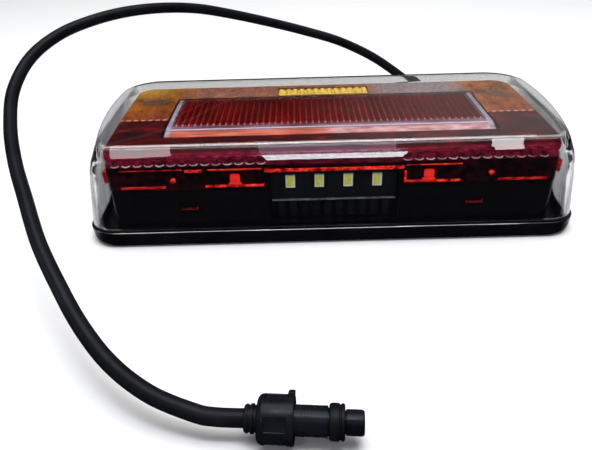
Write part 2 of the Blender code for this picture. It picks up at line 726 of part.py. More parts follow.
def wire(name, points, radius, material, resolution=2):
    """A capped round wire through a list of points."""
    curve = bpy.data.curves.new(name, "CURVE")
    curve.dimensions = "3D"
    curve.bevel_depth = radius * MM
    curve.bevel_resolution = resolution
    curve.use_fill_caps = True
    spline = curve.splines.new("POLY")
    spline.points.add(len(points) - 1)
    for point, place_at in zip(spline.points, points):
        point.co = (*(Vector(place_at) * MM), 1.0)
    return place(name, curve, material)


def core_wires():
    """The lead's five cores, fanned out from the gland to the pads at the board's edge."""
    start_y = OUTLET_INSIDE - 3.0 - GAP
    for index, (colour, value) in enumerate(CORE_COLOURS.items()):
        offset = index - 2
        core_material = principled(f"core_{colour}", value, 0.4)
        start_x, end_x = OUTLET_X + 1.7 * offset, OUTLET_X + 2.9 * offset
        rise = BOARD_TOP + CORE_RADIUS + GAP
        points = (
            (start_x, start_y, OUTLET_Z),
            (start_x + 0.2 * offset, start_y - 2.0, OUTLET_Z + 0.2),
            (start_x + 0.6 * offset, start_y - 3.8, OUTLET_Z + 2.6),
            (end_x, start_y - 6.2, rise + 1.2),
            (end_x, start_y - 9.0, rise + 0.9),
            (end_x, start_y - 13.0, rise),
        )
        wire(f"core_wire_{colour}", points, CORE_RADIUS, core_material)


# ---------------------------------------------------------------- lead and plug


def smooth_points(route, count):
    """Evenly spread points on the smooth curve through the route's own points."""
    knots = [2 * route[0] - route[1], *route, 2 * route[-1] - route[-2]]
    fine = []
    for p0, p1, p2, p3 in zip(knots, knots[1:], knots[2:], knots[3:]):
        for step in range(16):
            t = step / 16
            fine.append(
                0.5 * (
                    2 * p1
                    + (p2 - p0) * t
                    + (2 * p0 - 5 * p1 + 4 * p2 - p3) * t * t
                    + (3 * p1 - p0 - 3 * p2 + p3) * t**3
                )
            )
    fine.append(route[-1])
    travelled = [0.0]
    for before, after in zip(fine, fine[1:]):
        travelled.append(travelled[-1] + (after - before).length)
    spread, index = [], 0
    for step in range(count):
        target = travelled[-1] * step / (count - 1)
        while index < len(fine) - 2 and travelled[index + 1] < target:
            index += 1
        share = (target - travelled[index]) / (travelled[index + 1] - travelled[index])
        spread.append(fine[index].lerp(fine[index + 1], share))
    return spread


def plug_direction():
    angle = math.radians(PLUG_TURN)
    return Vector((math.cos(angle), math.sin(angle), 0.0))


def lead():
    """The round lead from the strain relief's tip to the rear of the plug."""
    exit_point = Vector((OUTLET_X, BOOT_START_Y + BOOT_LENGTH + GAP, OUTLET_Z))
    end_point = PLUG_POINT - GAP * plug_direction()
    near_end = PLUG_POINT - 9.0 * plug_direction()
    route = [exit_point, *(Vector(point) for point in ROUTE), near_end, end_point]
    wire("cable", smooth_points(route, LEAD_POINTS), LEAD_RADIUS, BLACK_RUBBER)


def plug_frame():
    """The plug's own frame: Z along its axis, from the end where the lead enters."""
    return along(PLUG_POINT, plug_direction())


def plug_collar():
    """The ribbed strain relief at the rear of the plug."""
    profile = (
        (0.0, COLLAR_LENGTH),
        (COLLAR_RADIUS - 0.5, COLLAR_LENGTH),
        (COLLAR_RADIUS - 0.5, 3.0),
        (COLLAR_RADIUS, 2.8),
        (COLLAR_RADIUS, 2.0),
        (COLLAR_RADIUS - 0.5, 1.8),
        (COLLAR_RADIUS - 0.5, 1.3),
        (COLLAR_RADIUS - 0.2, 1.1),
        (COLLAR_RADIUS - 0.2, 0.4),
        (COLLAR_RADIUS - 0.6, 0.0),
        (0.0, 0.0),
    )
    turned("plug_strain_relief", profile, BLACK_RUBBER, plug_frame())


def coupling_ring():
    """The nut that turns on the plug, with grip flats round it and a tab on its front rim."""
    profile = (
        (RING_CAVITY, RING_END),
        (RING_RADIUS, RING_END),
        (RING_RADIUS, RING_START + 1.2),
        (RING_RADIUS - 1.2, RING_START),
        (BODY_NECK + 0.4, RING_START),
        (BODY_NECK + 0.4, RING_START + 2.0),
        (RING_CAVITY, RING_START + 2.0),
    )
    frame = plug_frame()
    ring = turned("coupling_ring", profile, BLACK_MATT, frame, steps=40, ring=True)
    tab_low, tab_high = (-2.2, RING_RADIUS - 0.6, RING_END - 2.0), (2.2, RING_RADIUS + 1.1, RING_END)
    tab = box("ring_tab", tab_low, tab_high, helper=True)
    tab.matrix_world = frame @ Matrix.Rotation(math.radians(RING_TAB_ANGLE), 4, "Z")
    combine(ring, "UNION", [tab])
    flats = []
    for index in range(RING_GRIPS):
        flat = box(
            f"grip_{index}",
            (-RING_GRIP_HALF, RING_RADIUS - RING_GRIP_DEPTH, RING_START + 2.3),
            (RING_GRIP_HALF, RING_RADIUS + 1.2, RING_END - 2.1),
            helper=True,
        )
        turn = math.radians(RING_GRIP_ANGLE + 360 * index / RING_GRIPS)
        flat.matrix_world = frame @ Matrix.Rotation(turn, 4, "Z")
        flats.append(flat)
    return combine(ring, "DIFFERENCE", flats)


def plug_body():
    """The barrel that carries the coupling ring between its shoulder and the collar."""
    shoulder = RING_START + 2.0 + GAP
    profile = (
        (0.0, SEAL_END),
        (BODY_NECK, SEAL_END),
        (BODY_NECK, BODY_END),
        (BODY_RADIUS, BODY_END),
        (BODY_RADIUS, shoulder + 1.6),
        (RING_CAVITY - 1.0, shoulder + 1.6),
        (RING_CAVITY - 1.0, shoulder),
        (BODY_NECK, shoulder),
        (BODY_NECK, COLLAR_LENGTH + GAP),
        (0.0, COLLAR_LENGTH + GAP),
    )
    turned("plug_body", profile, BLACK_MATT, plug_frame())


def plug_seal_ring():
    low, high = BODY_END + GAP, SEAL_END
    profile = (
        (BODY_NECK + GAP, high),
        (SEAL_RADIUS - 0.9, high),
        (SEAL_RADIUS, high - 0.9),
        (SEAL_RADIUS, low + 0.7),
        (SEAL_RADIUS - 0.7, low),
        (BODY_NECK + GAP, low),
    )
    turned("plug_seal_ring", profile, BLACK_RUBBER, plug_frame(), ring=True)


def plug_nose():
    """The keyed nose of the plug and the five contacts in its recess."""
    profile = (
        (0.0, NOSE_END - NOSE_DEPTH),
        (NOSE_BORE, NOSE_END - NOSE_DEPTH),
        (NOSE_BORE, NOSE_END),
        (NOSE_RADIUS - 0.3, NOSE_END),
        (NOSE_RADIUS, NOSE_END - 0.4),
        (NOSE_RADIUS, NOSE_START),
        (0.0, NOSE_START),
    )
    frame = plug_frame()
    turned("plug_insert", profile, BLACK_MATT, frame)
    low, high = NOSE_END - NOSE_DEPTH + GAP, NOSE_END - 0.5
    for index in range(5):
        angle = 2 * math.pi * index / 5
        x, y = PIN_CIRCLE * math.cos(angle), PIN_CIRCLE * math.sin(angle)
        pin = rod(f"contact_pin_{index + 1}", (x, y, low), (x, y, high), PIN_RADIUS, BRASS, segments=8)
        pin.matrix_world = frame


base_housing()
lens_seal()
outer_lens()
red_inner_lens()
amber_inner_lens()
inner_bezel()
reflector_frame()
reflex_reflector()
board_leds()
turn_light_bar()
main_circuit_board()
board_screws()
board_components()
number_plate_light()
mounting_inserts()
breather_vent()
cable_outlet()
core_wires()
lead()
plug_collar()
coupling_ring()
plug_body()
plug_seal_ring()
plug_nose()
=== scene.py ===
"""Looks of an LED trailer tail light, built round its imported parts.

The origin is the middle of the mounting face, +X runs along the lamp, +Y points to the side where
the lead leaves and +Z out through the lens. Lengths below are in millimetres.
"""

import math

import bmesh
import bpy
from mathutils import Matrix, Vector


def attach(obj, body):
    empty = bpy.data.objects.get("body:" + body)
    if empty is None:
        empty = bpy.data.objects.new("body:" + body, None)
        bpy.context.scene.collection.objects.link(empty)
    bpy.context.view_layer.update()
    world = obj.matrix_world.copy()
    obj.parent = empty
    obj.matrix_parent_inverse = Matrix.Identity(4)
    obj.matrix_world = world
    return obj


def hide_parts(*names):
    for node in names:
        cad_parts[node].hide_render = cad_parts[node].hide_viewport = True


MM = 0.001
LAMP, RING = "lamp", "coupling_ring"

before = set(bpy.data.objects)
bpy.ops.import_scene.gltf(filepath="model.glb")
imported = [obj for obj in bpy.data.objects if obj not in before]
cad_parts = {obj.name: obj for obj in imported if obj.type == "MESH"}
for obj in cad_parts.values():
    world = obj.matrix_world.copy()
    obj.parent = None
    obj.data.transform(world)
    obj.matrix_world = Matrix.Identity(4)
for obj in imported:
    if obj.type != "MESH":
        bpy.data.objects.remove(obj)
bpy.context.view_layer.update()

# ---- sizes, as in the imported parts

WIDTH, DEPTH, HEIGHT = 236, 103, 49.5
FRONT, BACK = -DEPTH / 2, DEPTH / 2
SIDE_BULGE, WIDEST_Y = 3, 10
FRONT_RADIUS, BACK_RADIUS = 13, 20
BASE_ROWS = (
    (0, 3.4, 2.5), (0.25, 2.7, 1.8), (0.9, 1.8, 1.1), (2.6, 0.8, 0.3),
    (7.2, 0.3, 0), (7.7, 0.5, 0.2), (7.9, 1, 0.7),
)
BASE_TOP, BASE_WALL, BASE_FLOOR = 7.9, 2.8, 2.4
COVER_ROWS = (
    (9, 0.9, 1.1, 3.5, 13), (18, 0.6, 0.9, 5.8, 12), (27, 1, 0.8, 7.2, 11),
    (36, 2, 0.9, 8, 10.5), (40.5, 3, 1, 8.6, 10), (43.4, 4.4, 1.2, 8.6, 10),
    (46.6, 5.8, 3.3, 8, 10), (49, 7.2, 4.9, 7.6, 10), (49.5, 8.2, 5.7, 7.4, 10),
)
COVER_WALL, COVER_TOP_WALL = 2.2, 0.8

INNER_HALF_X, INNER_FRONT, INNER_BACK = 103.5, -46, 41.5
INNER_FRONT_RADIUS, INNER_BACK_RADIUS, INNER_BULGE = 5, 10, 1
CAP_TOP, CAP_BOTTOM, CAP_WALL, CAP_CHAMFER, CAP_SIDE_CHAMFER = 46.3, 27.5, 1.6, 2.6, 1.2
SPLIT_Y = -9.4
BEZEL_TOP, BEZEL_WALL = 27.2, 1.8

REFLECTOR_X, REFLECTOR_FRONT, REFLECTOR_BACK = 75, -16.6, 19
REFLECTOR_TOP, REFLECTOR_BOTTOM, RIB_PITCH, RIB_DEPTH = 46.2, 42.6, 3, 0.9
FRAME_X, FRAME_FRONT, FRAME_BACK = 78.6, -31, 21.4
FRAME_BOTTOM, FRAME_SHOULDER, FRAME_SLOPE_TOP_Y = 38, 43.8, -21.6

PLATE_X, PLATE_HALF_X, PLATE_BOTTOM, PLATE_TOP = 0.9, 29.6, 9.6, 34.8
PLATE_LOW_X, PLATE_HIGH_X = PLATE_X - PLATE_HALF_X, PLATE_X + PLATE_HALF_X
PLATE_LED_Z, PLATE_LED_PITCH, PLATE_LED_SIZE = 29.4, 13.2, (4.3, 1.1, 6.4)
PLATE_BOARD_FRONT, PLATE_BOARD_BACK = -42.2, -40.6

BAR_X, BAR_Y, BAR_Z, BAR_BEADS = (-25, 24), (23.6, 35), (43.6, 46), 13
INSERT_X, INSERT_HOLE, VENT_SPOT, VENT_RADIUS = 76, 4.9, (-36, 16), 3.3
LUG_X = 65.8
FLUTES_X = [-96.5 + 5 * index for index in range(39)]
FLUTE_Y, FLUTE_BOTTOM = -45.1, 39.9
POST_SPOTS = ((-62, -24), (62, -24), (-62, 24), (62, 24))

OUTLET_X, OUTLET_Z, OUTLET_TOP, OUTLET_HALF_X = 84, 10, 18.6, 9
BOOT_START_Y, BOOT_LENGTH = 58, 16
LEAD_RADIUS = 2.9
PLUG_POINT, PLUG_TURN = Vector((-33.3, -159.1, 8.2)), -4.5
GAP = 0.3

# The lead's own points, from the strain relief's tip to the rear of the plug. It reaches a little
# way into both, so that no light shows between them.
LEAD_SEAT = 1.2
LEAD_EXIT = Vector((OUTLET_X, BOOT_START_Y + BOOT_LENGTH + GAP, OUTLET_Z))
LEAD_POINTS = (
    (84, 83, 10.3), (77.3, 101, 13.3), (65, 112, 21.5), (56, 115.5, 28.2),
    (37.5, 117, 40.5), (15, 116.5, 51.5), (-8, 114.5, 59.3), (-31, 110, 66.5),
    (-53, 101.5, 73.6), (-73, 89.5, 80), (-91.5, 75, 83.8), (-109, 60.5, 85),
    (-124.5, 46.5, 83.7), (-138, 30.5, 80.3), (-147, 11, 74), (-148.3, -12.5, 65.5),
    (-142.3, -36.5, 57), (-133.3, -58.5, 49.6), (-123.5, -77.5, 42.7), (-112.5, -98, 34.6),
    (-101, -115, 27.2), (-89.7, -129.7, 20.5), (-77.5, -142, 15.1), (-63.6, -151.5, 11.4),
    (-49.2, -157, 8.8),
)


# ---- node materials


def feed(tree, socket, value):
    """Links another node's output to the socket, or sets the value."""
    if isinstance(value, bpy.types.NodeSocket):
        tree.links.new(value, socket)
    else:
        socket.default_value = value


def add_node(tree, kind, inputs=(), **settings):
    made = tree.nodes.new("ShaderNode" + kind)
    for name, value in settings.items():
        setattr(made, name, value)
    for name, value in dict(inputs).items():
        feed(tree, made.inputs[name], value)
    return made


def add_ramp(tree, value, stops):
    """Colour stops of (position, (red, green, blue)), or grey where a single number is given."""
    made = add_node(tree, "ValToRGB", {"Fac": value})
    elements = made.color_ramp.elements
    while len(elements) < len(stops):
        elements.new(0.5)
    for element, (position, colour) in zip(elements, stops):
        element.position = position
        colour = colour if isinstance(colour, tuple) else (colour, colour, colour)
        element.color = (*colour, 1)
    return made.outputs["Color"]


class Material:
    """A Principled material whose pattern comes from the piece's own coordinates, in millimetres."""

    def __init__(self, name, colour=(0.5, 0.5, 0.5), roughness=0.3, **values):
        self.made = bpy.data.materials.new(name)
        self.made.use_nodes = True
        self.tree = self.made.node_tree
        self.shader = self.tree.nodes["Principled BSDF"]
        self.set("Base Color", (*colour, 1))
        self.set("Roughness", roughness)
        for socket, value in values.items():
            self.set(socket.replace("_", " "), value)
        place = self.node("TexCoord")
        self.point = self.vector("MULTIPLY", place.outputs["Object"], (1000, 1000, 1000))

    def set(self, socket, value):
        feed(self.tree, self.shader.inputs[socket], value)

    def paint(self, colour, glow=0):
        """The colour, and how much light of its own it gives."""
        self.set("Base Color", colour)
        if glow:
            self.set("Emission Color", colour)
            self.set("Emission Strength", glow)

    def node(self, kind, inputs=(), **settings):
        return add_node(self.tree, kind, inputs, **settings)

    def vector(self, operation, first, second):
        return self.node("VectorMath", {0: first, 1: second}, operation=operation).outputs[0]

    def maths(self, operation, first, second=0, third=0):
        inputs = {0: first, 1: second, 2: third}
        return self.node("Math", inputs, operation=operation).outputs[0]

    def times(self, first, second):
        return self.maths("MULTIPLY", first, second)

    def size(self, value):
        return self.maths("ABSOLUTE", value)

    def axis(self, name):
        return self.node("SeparateXYZ", {0: self.point}).outputs[name]

    def scaled(self, factors):
        return self.vector("MULTIPLY", self.point, factors)

    def noise(self, size, detail=2, stretch=(1, 1, 1), rough=0.5):
        """Noise whose blotches are about size millimetres across."""
        inputs = {"Vector": self.scaled(stretch), "Scale": 1 / size, "Detail": detail, "Roughness": rough}
        return self.node("TexNoise", inputs).outputs["Fac"]

    def cells(self, size, stretch=(1, 1, 1)):
        inputs = {"Vector": self.scaled(stretch), "Scale": 1 / size}
        return self.node("TexVoronoi", inputs).outputs["Distance"]

    def ramp(self, value, *stops):
        return add_ramp(self.tree, value, stops)

    def tones(self, size, detail, *stops):
        return self.ramp(self.noise(size, detail), *stops)

    def window(self, value, low, high, soft=0.6):
        """1 between low and high, falling to 0 over soft on both sides."""
        rise = self.spread(value, low - soft, low)
        fall = self.spread(value, high + soft, high)
        return self.times(rise, fall)

    def spread(self, value, start, end):
        """0 at start, rising evenly to 1 at end."""
        inputs = {"Value": value, "From Min": start, "From Max": end}
        return self.node("MapRange", inputs).outputs["Result"]

    def mix(self, share, first, second, most=1, blend_type="MIX"):
        """Goes from the first colour to the second by share, and no further than most."""
        share = share if most == 1 else self.times(share, most)
        first, second = ((*end, 1) if isinstance(end, tuple) else end for end in (first, second))
        inputs = {0: share, 6: first, 7: second}
        return self.node("Mix", inputs, data_type="RGBA", blend_type=blend_type).outputs[2]

    def bump(self, height, depth):
        """Surface relief of depth millimetres."""
        inputs = {"Height": height, "Distance": depth * MM, "Strength": 1}
        self.set("Normal", self.node("Bump", inputs).outputs["Normal"])

    def lets_lamps_through(self):
        """Light from the lamps passes straight through, so that what is behind the glass is lit."""
        self.show(self.node("LightPath").outputs["Is Shadow Ray"], self.node("BsdfTransparent"))

    def show(self, share, other):
        """Mixes another shader node over the plastic by share."""
        plain, over = self.shader.outputs["BSDF"], other.outputs["BSDF"]
        mixed = self.node("MixShader", {0: share, 1: plain, 2: over})
        feed(self.tree, self.tree.nodes["Material Output"].inputs["Surface"], mixed.outputs["Shader"])


def moulded(name, dark, light, smooth, rough, grain, relief, **values):
    """Plastic or rubber in two close tones, with uneven gloss and a fine grain."""
    made = Material(name, **values)
    made.paint(made.tones(9, 3, (0.3, dark), (0.75, light)))
    made.set("Roughness", made.tones(3.5, 4, (0.25, smooth), (0.8, rough)))
    made.bump(made.noise(grain, 3), relief)
    return made.made


def clear_plastic(name, tint, roughness, wave, sides=None):
    """Clear plastic. Beyond sides from the middle its walls are made pale and less clear, painted light that
    stands for light seen through them, with a painted highlight along their upper edge; a painted highlight
    line also runs along the front top edge.
    """
    made = Material(name, tint, roughness, Transmission_Weight=1, IOR=1.46)
    made.set("Roughness", made.tones(18, 3, (0.35, 0), (0.8, roughness)))
    if sides:
        away, depth, height = made.size(made.axis("X")), made.axis("Y"), made.axis("Z")
        corner = made.spread(depth, -35, -40)
        low = made.maths("MAXIMUM", made.spread(height, 43.5, 42), corner)
        # Painted highlight: a pale band along the upper edge of the side walls.
        rim = made.times(made.spread(height, 42, 43.5), made.spread(away, sides - 1, sides + 1.5))
        rim = made.times(rim, made.maths("SUBTRACT", 1, corner))
        # Painted highlight line along the front top edge.
        front_highlight_line = made.times(made.window(height, 48.25, 48.4, 0.2), made.spread(depth, -40, -42))

        # Streaked pale grey for the painted light in the side walls.
        streaks = made.ramp(made.noise(5, 3, (1, 1, 0.25)), (0.3, 0.42), (0.7, 0.66))
        colour = made.mix(made.spread(depth, 40, 43), tint, (0.8, 0.79, 0.77))
        colour = made.mix(made.spread(away, sides, sides + 5), colour, streaks)
        made.paint(made.mix(rim, colour, (0.62, 0.625, 0.63)))

        # Painted light: the side walls turn pale and less clear, standing for light seen through them.
        pale_light_share = made.times(made.spread(away, sides + 3, sides + 8), low)
        front_corner = made.times(corner, made.spread(away, sides + 3.5, sides + 6))
        pale_light_share = made.maths("MULTIPLY_ADD", front_corner, 1.5, pale_light_share)
        pale_light_share = made.maths("MAXIMUM", pale_light_share, made.times(rim, 1.3))
        pale_light_share = made.maths("MAXIMUM", pale_light_share, made.times(front_highlight_line, 0.5))
        made.set("Transmission Weight", made.maths("MULTIPLY_ADD", pale_light_share, -0.36, 1))
    made.bump(made.noise(7, 2), wave)
    made.lets_lamps_through()
    return made.made


def led_shadow(made, spots, radius):
    """1 over each lamp under the lens, for a painted shadow there, with a ragged edge."""
    total = None
    ragged = made.times(made.noise(2.2, 3), radius * 0.9)
    for x, y in spots:
        away = made.vector("SUBTRACT", made.point, (x, y, CAP_TOP))
        away = made.vector("MULTIPLY", away, (0.8, 1, 0))
        length = made.node("VectorMath", {0: away}, operation="LENGTH").outputs["Value"]
        inside = made.spread(made.maths("ADD", length, ragged), radius * 1.55, radius * 1.05)
        total = inside if total is None else made.maths("MAXIMUM", total, inside)
    return total


def red_lens_material():
    """Thin red plastic: crimson on its top and upper wall, with painted shade, nearly black, low on its
    front wall over the dark inside, and painted shadows over the lamps under its top.
    """
    made = Material("red_lens", roughness=0.16, Specular_IOR_Level=0.1)
    patches = made.noise(6, 4, (0.5, 1, 1))
    reds = (0.3, (0.011, 0.001, 0.001)), (0.55, (0.034, 0.002, 0.003)), (0.78, (0.11, 0.005, 0.007))
    top = made.ramp(patches, *reds)
    # Painted shadows over the two lamps under the top.
    dark = led_shadow(made, ((-91.8, -25.3), (94.5, -23)), 5)
    top = made.mix(dark, top, (0.006, 0.003, 0.003), 0.85)
    grain = made.noise(2.4, 4, (0.6, 1, 1.6))
    wall = made.ramp(grain, (0.35, (0.05, 0.002, 0.008)), (0.7, (0.24, 0.012, 0.035)))
    # Painted shade for the lower front wall: nearly black over the dark inside.
    pocket = made.tones(5, 3, (0.4, (0.004, 0.001, 0.002)), (0.8, (0.03, 0.002, 0.004)))
    height, depth = made.axis("Z"), made.axis("Y")
    low = made.spread(height, 39.8, 38.6)
    front = made.spread(depth, -42, -43.2)
    colour = made.mix(made.spread(height, 45.4, 44), top, wall)
    made.paint(made.mix(made.times(low, front), colour, pocket))
    made.bump(made.noise(1.2, 2), 0.03)
    return made.made


def red_guide_glow_material():
    """Edges of the red lens with a painted glow: brightest near the plate window, in broken dashes."""
    made = Material("red_guide_painted_glow", roughness=0.14, Coat_Weight=0.3, Coat_Roughness=0.05)
    dashes = made.noise(2.4, 3, (0.7, 1, 1.4), 0.65)
    reds = (0.36, (0.05, 0.001, 0.002)), (0.5, (0.5, 0.008, 0.006)), (0.68, (0.95, 0.06, 0.03))
    colour = made.ramp(dashes, *reds)
    # Painted glow fades away from the plate window and is brighter on the posts.
    away = made.size(made.maths("SUBTRACT", made.axis("X"), PLATE_X))
    far = made.spread(away, 58, 100)
    colour = made.mix(far, colour, (0.1, 0.002, 0.008), 0.7)
    posts = made.times(made.window(away, 39, 47.8), made.spread(made.axis("Z"), 29.6, 29.9))
    colour = made.mix(posts, colour, (0.72, 0.02, 0.012), 0.85)
    # Painted glow: the edges give light of their own.
    made.paint(colour, glow=0.4)
    made.bump(made.noise(1.4, 2), 0.05)
    return made.made


def amber_lens_material():
    """Orange plastic with painted uneven light: brown in painted shade, yellow in painted light where a lamp
    stands below, strongest in the back left corner, a painted grey haze of reflected light at the back
    right, and painted shadows over the lamps.
    """
    made = Material("amber_lens", roughness=0.18, Specular_IOR_Level=0.12)
    across, depth = made.axis("X"), made.axis("Y")
    patches = made.noise(8, 4, (1, 0.6, 1), 0.62)
    browns = (0.32, (0.03, 0.012, 0.008)), (0.45, (0.14, 0.04, 0.008))
    yellows = (0.6, (0.25, 0.07, 0.009)), (0.78, (0.38, 0.16, 0.024))
    colour = made.ramp(patches, *browns, *yellows)
    colour = made.mix(made.spread(depth, 18, -8), colour, (0.2, 0.036, 0.009), 0.55)
    # Painted light: yellow in the back left corner.
    corner = made.times(made.spread(across, -72, -96), made.spread(depth, 18, 34))
    colour = made.mix(corner, colour, (0.46, 0.27, 0.04), 0.7)
    behind = made.times(made.spread(depth, 20, 23), made.spread(made.size(across), 80, 68))
    colour = made.mix(behind, colour, (0.26, 0.13, 0.11), 0.45)
    # Painted haze of reflected light, grey, at the back right.
    painted_haze = made.times(behind, made.spread(across, 22, 34))
    colour = made.mix(painted_haze, colour, (0.2, 0.19, 0.2), 0.7)
    flecks = made.ramp(made.noise(1.8, 3, (1.4, 0.6, 1)), (0.4, 0.5), (0.66, 1))
    colour = made.mix(0.8, colour, flecks, blend_type="MULTIPLY")
    # Painted shadows over the two lamps below.
    dark = led_shadow(made, ((-90.1, 16.7), (91.5, 15.7)), 6)
    colour = made.mix(dark, colour, (0.05, 0.032, 0.025), 0.8)
    wave = made.maths("FRACT", made.maths("DIVIDE", across, 3.6))
    dash = made.times(made.spread(depth, -8, -8.6), made.spread(wave, 0.35, 0.5))
    made.paint(made.mix(dash, colour, (0.5, 0.22, 0.2)))
    made.bump(made.noise(1.6, 3), 0.05)
    return made.made


def reflex_material():
    """Deep red prisms: a painted highlight in a thin line along each rib, brightest in front, dimmer towards
    +X and broken into small cells, with painted glints along the front edge.
    """
    made = Material("reflex_red", roughness=0.22, Specular_IOR_Level=0.03)
    across = made.maths("DIVIDE", made.maths("ADD", made.axis("X"), REFLECTOR_X), RIB_PITCH)
    ridge = made.size(made.maths("SUBTRACT", made.maths("FRACT", across), 0.5))
    depth = made.axis("Y")
    cells = made.cells(1.3, (1, 0.8, 1))
    uneven = made.noise(14, 3, (1, 0.6, 1))
    base = made.ramp(uneven, (0.3, (0.02, 0.0004, 0.0006)), (0.7, (0.055, 0.0008, 0.001)))
    # Painted highlight along each rib's ridge, brightest in front, dimmer towards +X.
    line = made.ramp(ridge, (0.04, 1), (0.2, 0))
    line = made.times(line, made.ramp(cells, (0.15, 1), (0.75, 0.3)))
    line = made.times(line, made.maths("MULTIPLY_ADD", made.spread(depth, 17, -14), 0.7, 0.2))
    fading = made.maths("MULTIPLY_ADD", made.spread(made.axis("X"), 55, 22), 0.75, 0.25)
    colour = made.mix(made.times(line, fading), base, (0.3, 0.008, 0.005))
    # Painted glints along the front edge.
    front_glints = made.times(made.spread(depth, -15, -16), made.ramp(ridge, (0.1, 0.8), (0.22, 0)))
    made.paint(made.mix(front_glints, colour, (0.8, 0.16, 0.12)))
    return made.made


def liner_material():
    """The strip under the clear frame: orange-red in front, dark lilac above with a painted highlight along
    its front edge, grey at the sides.
    """
    made = Material("frame_liner", roughness=0.25, Specular_IOR_Level=0.3)
    across, depth = made.axis("X"), made.axis("Y")
    streaks = made.noise(5, 4, (0.25, 3, 1))
    oranges = (0.3, (0.16, 0.025, 0.02)), (0.55, (0.42, 0.1, 0.05)), (0.8, (0.55, 0.22, 0.14))
    front = made.ramp(streaks, *oranges)
    clouds = made.noise(4, 4, (0.5, 1.4, 1))
    pale = made.ramp(clouds, (0.38, (0.22, 0.08, 0.08)), (0.7, (0.6, 0.45, 0.45)))
    front = made.mix(made.spread(across, -8, 8), front, pale, 0.75)
    crown = made.ramp(streaks, (0.35, (0.05, 0.012, 0.025)), (0.75, (0.2, 0.12, 0.16)))
    # Painted highlight: a pale line along the crown's front edge.
    edge = made.times(made.spread(depth, -21.6, -21.2), made.spread(depth, -20.3, -20.7))
    crown = made.mix(edge, crown, (0.6, 0.5, 0.56), 0.8)
    sides = made.ramp(streaks, (0.3, (0.09, 0.07, 0.1)), (0.7, (0.38, 0.34, 0.4)))
    colour = made.mix(made.spread(depth, -22.6, -21.8), front, crown)
    made.paint(made.mix(made.spread(made.size(across), 75, 75.8), colour, sides))
    return made.made


def glowing(name, dark, light, size, strength):
    """A lens or chip in two close tones with a painted glow: it gives a little light of its own."""
    made = Material(name, roughness=0.3)
    made.paint(made.tones(size, 3, (0.3, dark), (0.7, light)), glow=strength)
    made.bump(made.noise(0.6, 2), 0.02)
    return made.made


def board_material():
    """Black solder mask with faint tracks under it."""
    made = Material("circuit_board", roughness=0.3, Specular_IOR_Level=0.2)
    inputs = {"Vector": made.scaled((0.35, 0.35, 0.35)), "Scale": 1, "Distortion": 2.5}
    tracks = made.node("TexWave", inputs).outputs["Fac"]
    made.paint(made.ramp(tracks, (0.45, (0.003, 0.004, 0.005)), (0.55, (0.009, 0.011, 0.012))))
    made.bump(tracks, 0.03)
    return made.made


def metal(name, dark, light, rough):
    made = Material(name, roughness=rough, Metallic=1)
    made.paint(made.tones(1.5, 4, (0.3, dark), (0.7, light)))
    made.set("Roughness", made.ramp(made.noise(0.8, 3, (1, 1, 6)), (0.3, rough), (0.8, rough + 0.2)))
    made.bump(made.noise(0.5, 3), 0.01)
    return made.made


def tray_material():
    """Glossy black, polished along its upper lip."""
    made = Material("black_gloss")
    tones = (0.3, (0.002, 0.002, 0.003)), (0.75, (0.005, 0.005, 0.006))
    made.paint(made.tones(9, 3, *tones))
    made.set("Roughness", made.tones(3.5, 4, (0.25, 0.05), (0.8, 0.12)))
    lip = made.window(made.axis("Z"), 7.3, 8, 0.15)
    made.set("Specular IOR Level", made.maths("MULTIPLY_ADD", lip, 1.7, 0.3))
    made.bump(made.noise(2.5, 3), 0.006)
    return made.made


def lead_material():
    """Satin black jacket, a little blue in the light, with a fine extruded grain."""
    made = Material("lead_jacket", roughness=0.42, Specular_IOR_Level=0.08)
    tones = (0.3, (0.004, 0.0045, 0.006)), (0.75, (0.009, 0.01, 0.014))
    made.paint(made.tones(11, 3, *tones))
    made.set("Roughness", made.tones(4, 4, (0.3, 0.32), (0.75, 0.46)))
    made.bump(made.noise(0.7, 3), 0.03)
    return made.made


BLACK_GLOSS = tray_material()
BEZEL = moulded("black_bezel", (0.001, 0.001, 0.0015), (0.003, 0.003, 0.004), 0.08, 0.2, 3, 0.01)
bluish = {"Specular_IOR_Level": 0.12, "Specular_Tint": (0.84, 0.92, 1, 1)}
tones = (0.003, 0.0038, 0.0055), (0.009, 0.0115, 0.016)
BLACK_MATT = moulded("black_matt", *tones, 0.22, 0.36, 0.5, 0.02, **bluish)
tones = (0.004, 0.0045, 0.0055), (0.009, 0.01, 0.012)
RUBBER = moulded("black_rubber", *tones, 0.36, 0.5, 0.7, 0.025, Specular_IOR_Level=0.09)
LEAD = lead_material()
CLEAR = clear_plastic("clear_cover", (0.97, 0.975, 0.98), 0.02, 0.008, 106)
FRAME_CLEAR = clear_plastic("clear_frame", (0.95, 0.93, 0.95), 0.06, 0.03)
RED = red_lens_material()
RED_GUIDE_GLOW = red_guide_glow_material()
AMBER = amber_lens_material()
REFLEX = reflex_material()
LINER = liner_material()
# Painted glow on the turn light's beads and the plate lamps' phosphor.
BEADS = glowing("amber_beads", (0.34, 0.2, 0.02), (0.6, 0.42, 0.05), 1.6, 0.13)
PHOSPHOR = glowing("led_phosphor", (0.5, 0.52, 0.05), (0.72, 0.72, 0.12), 1.2, 0.1)
PACKAGE = moulded("led_package", (0.7, 0.7, 0.68), (0.85, 0.85, 0.83), 0.3, 0.5, 0.5, 0.01)
BOARD = board_material()
COMPONENT = moulded("dark_component", (0.02, 0.02, 0.023), (0.04, 0.04, 0.044), 0.3, 0.5, 0.4, 0.02)
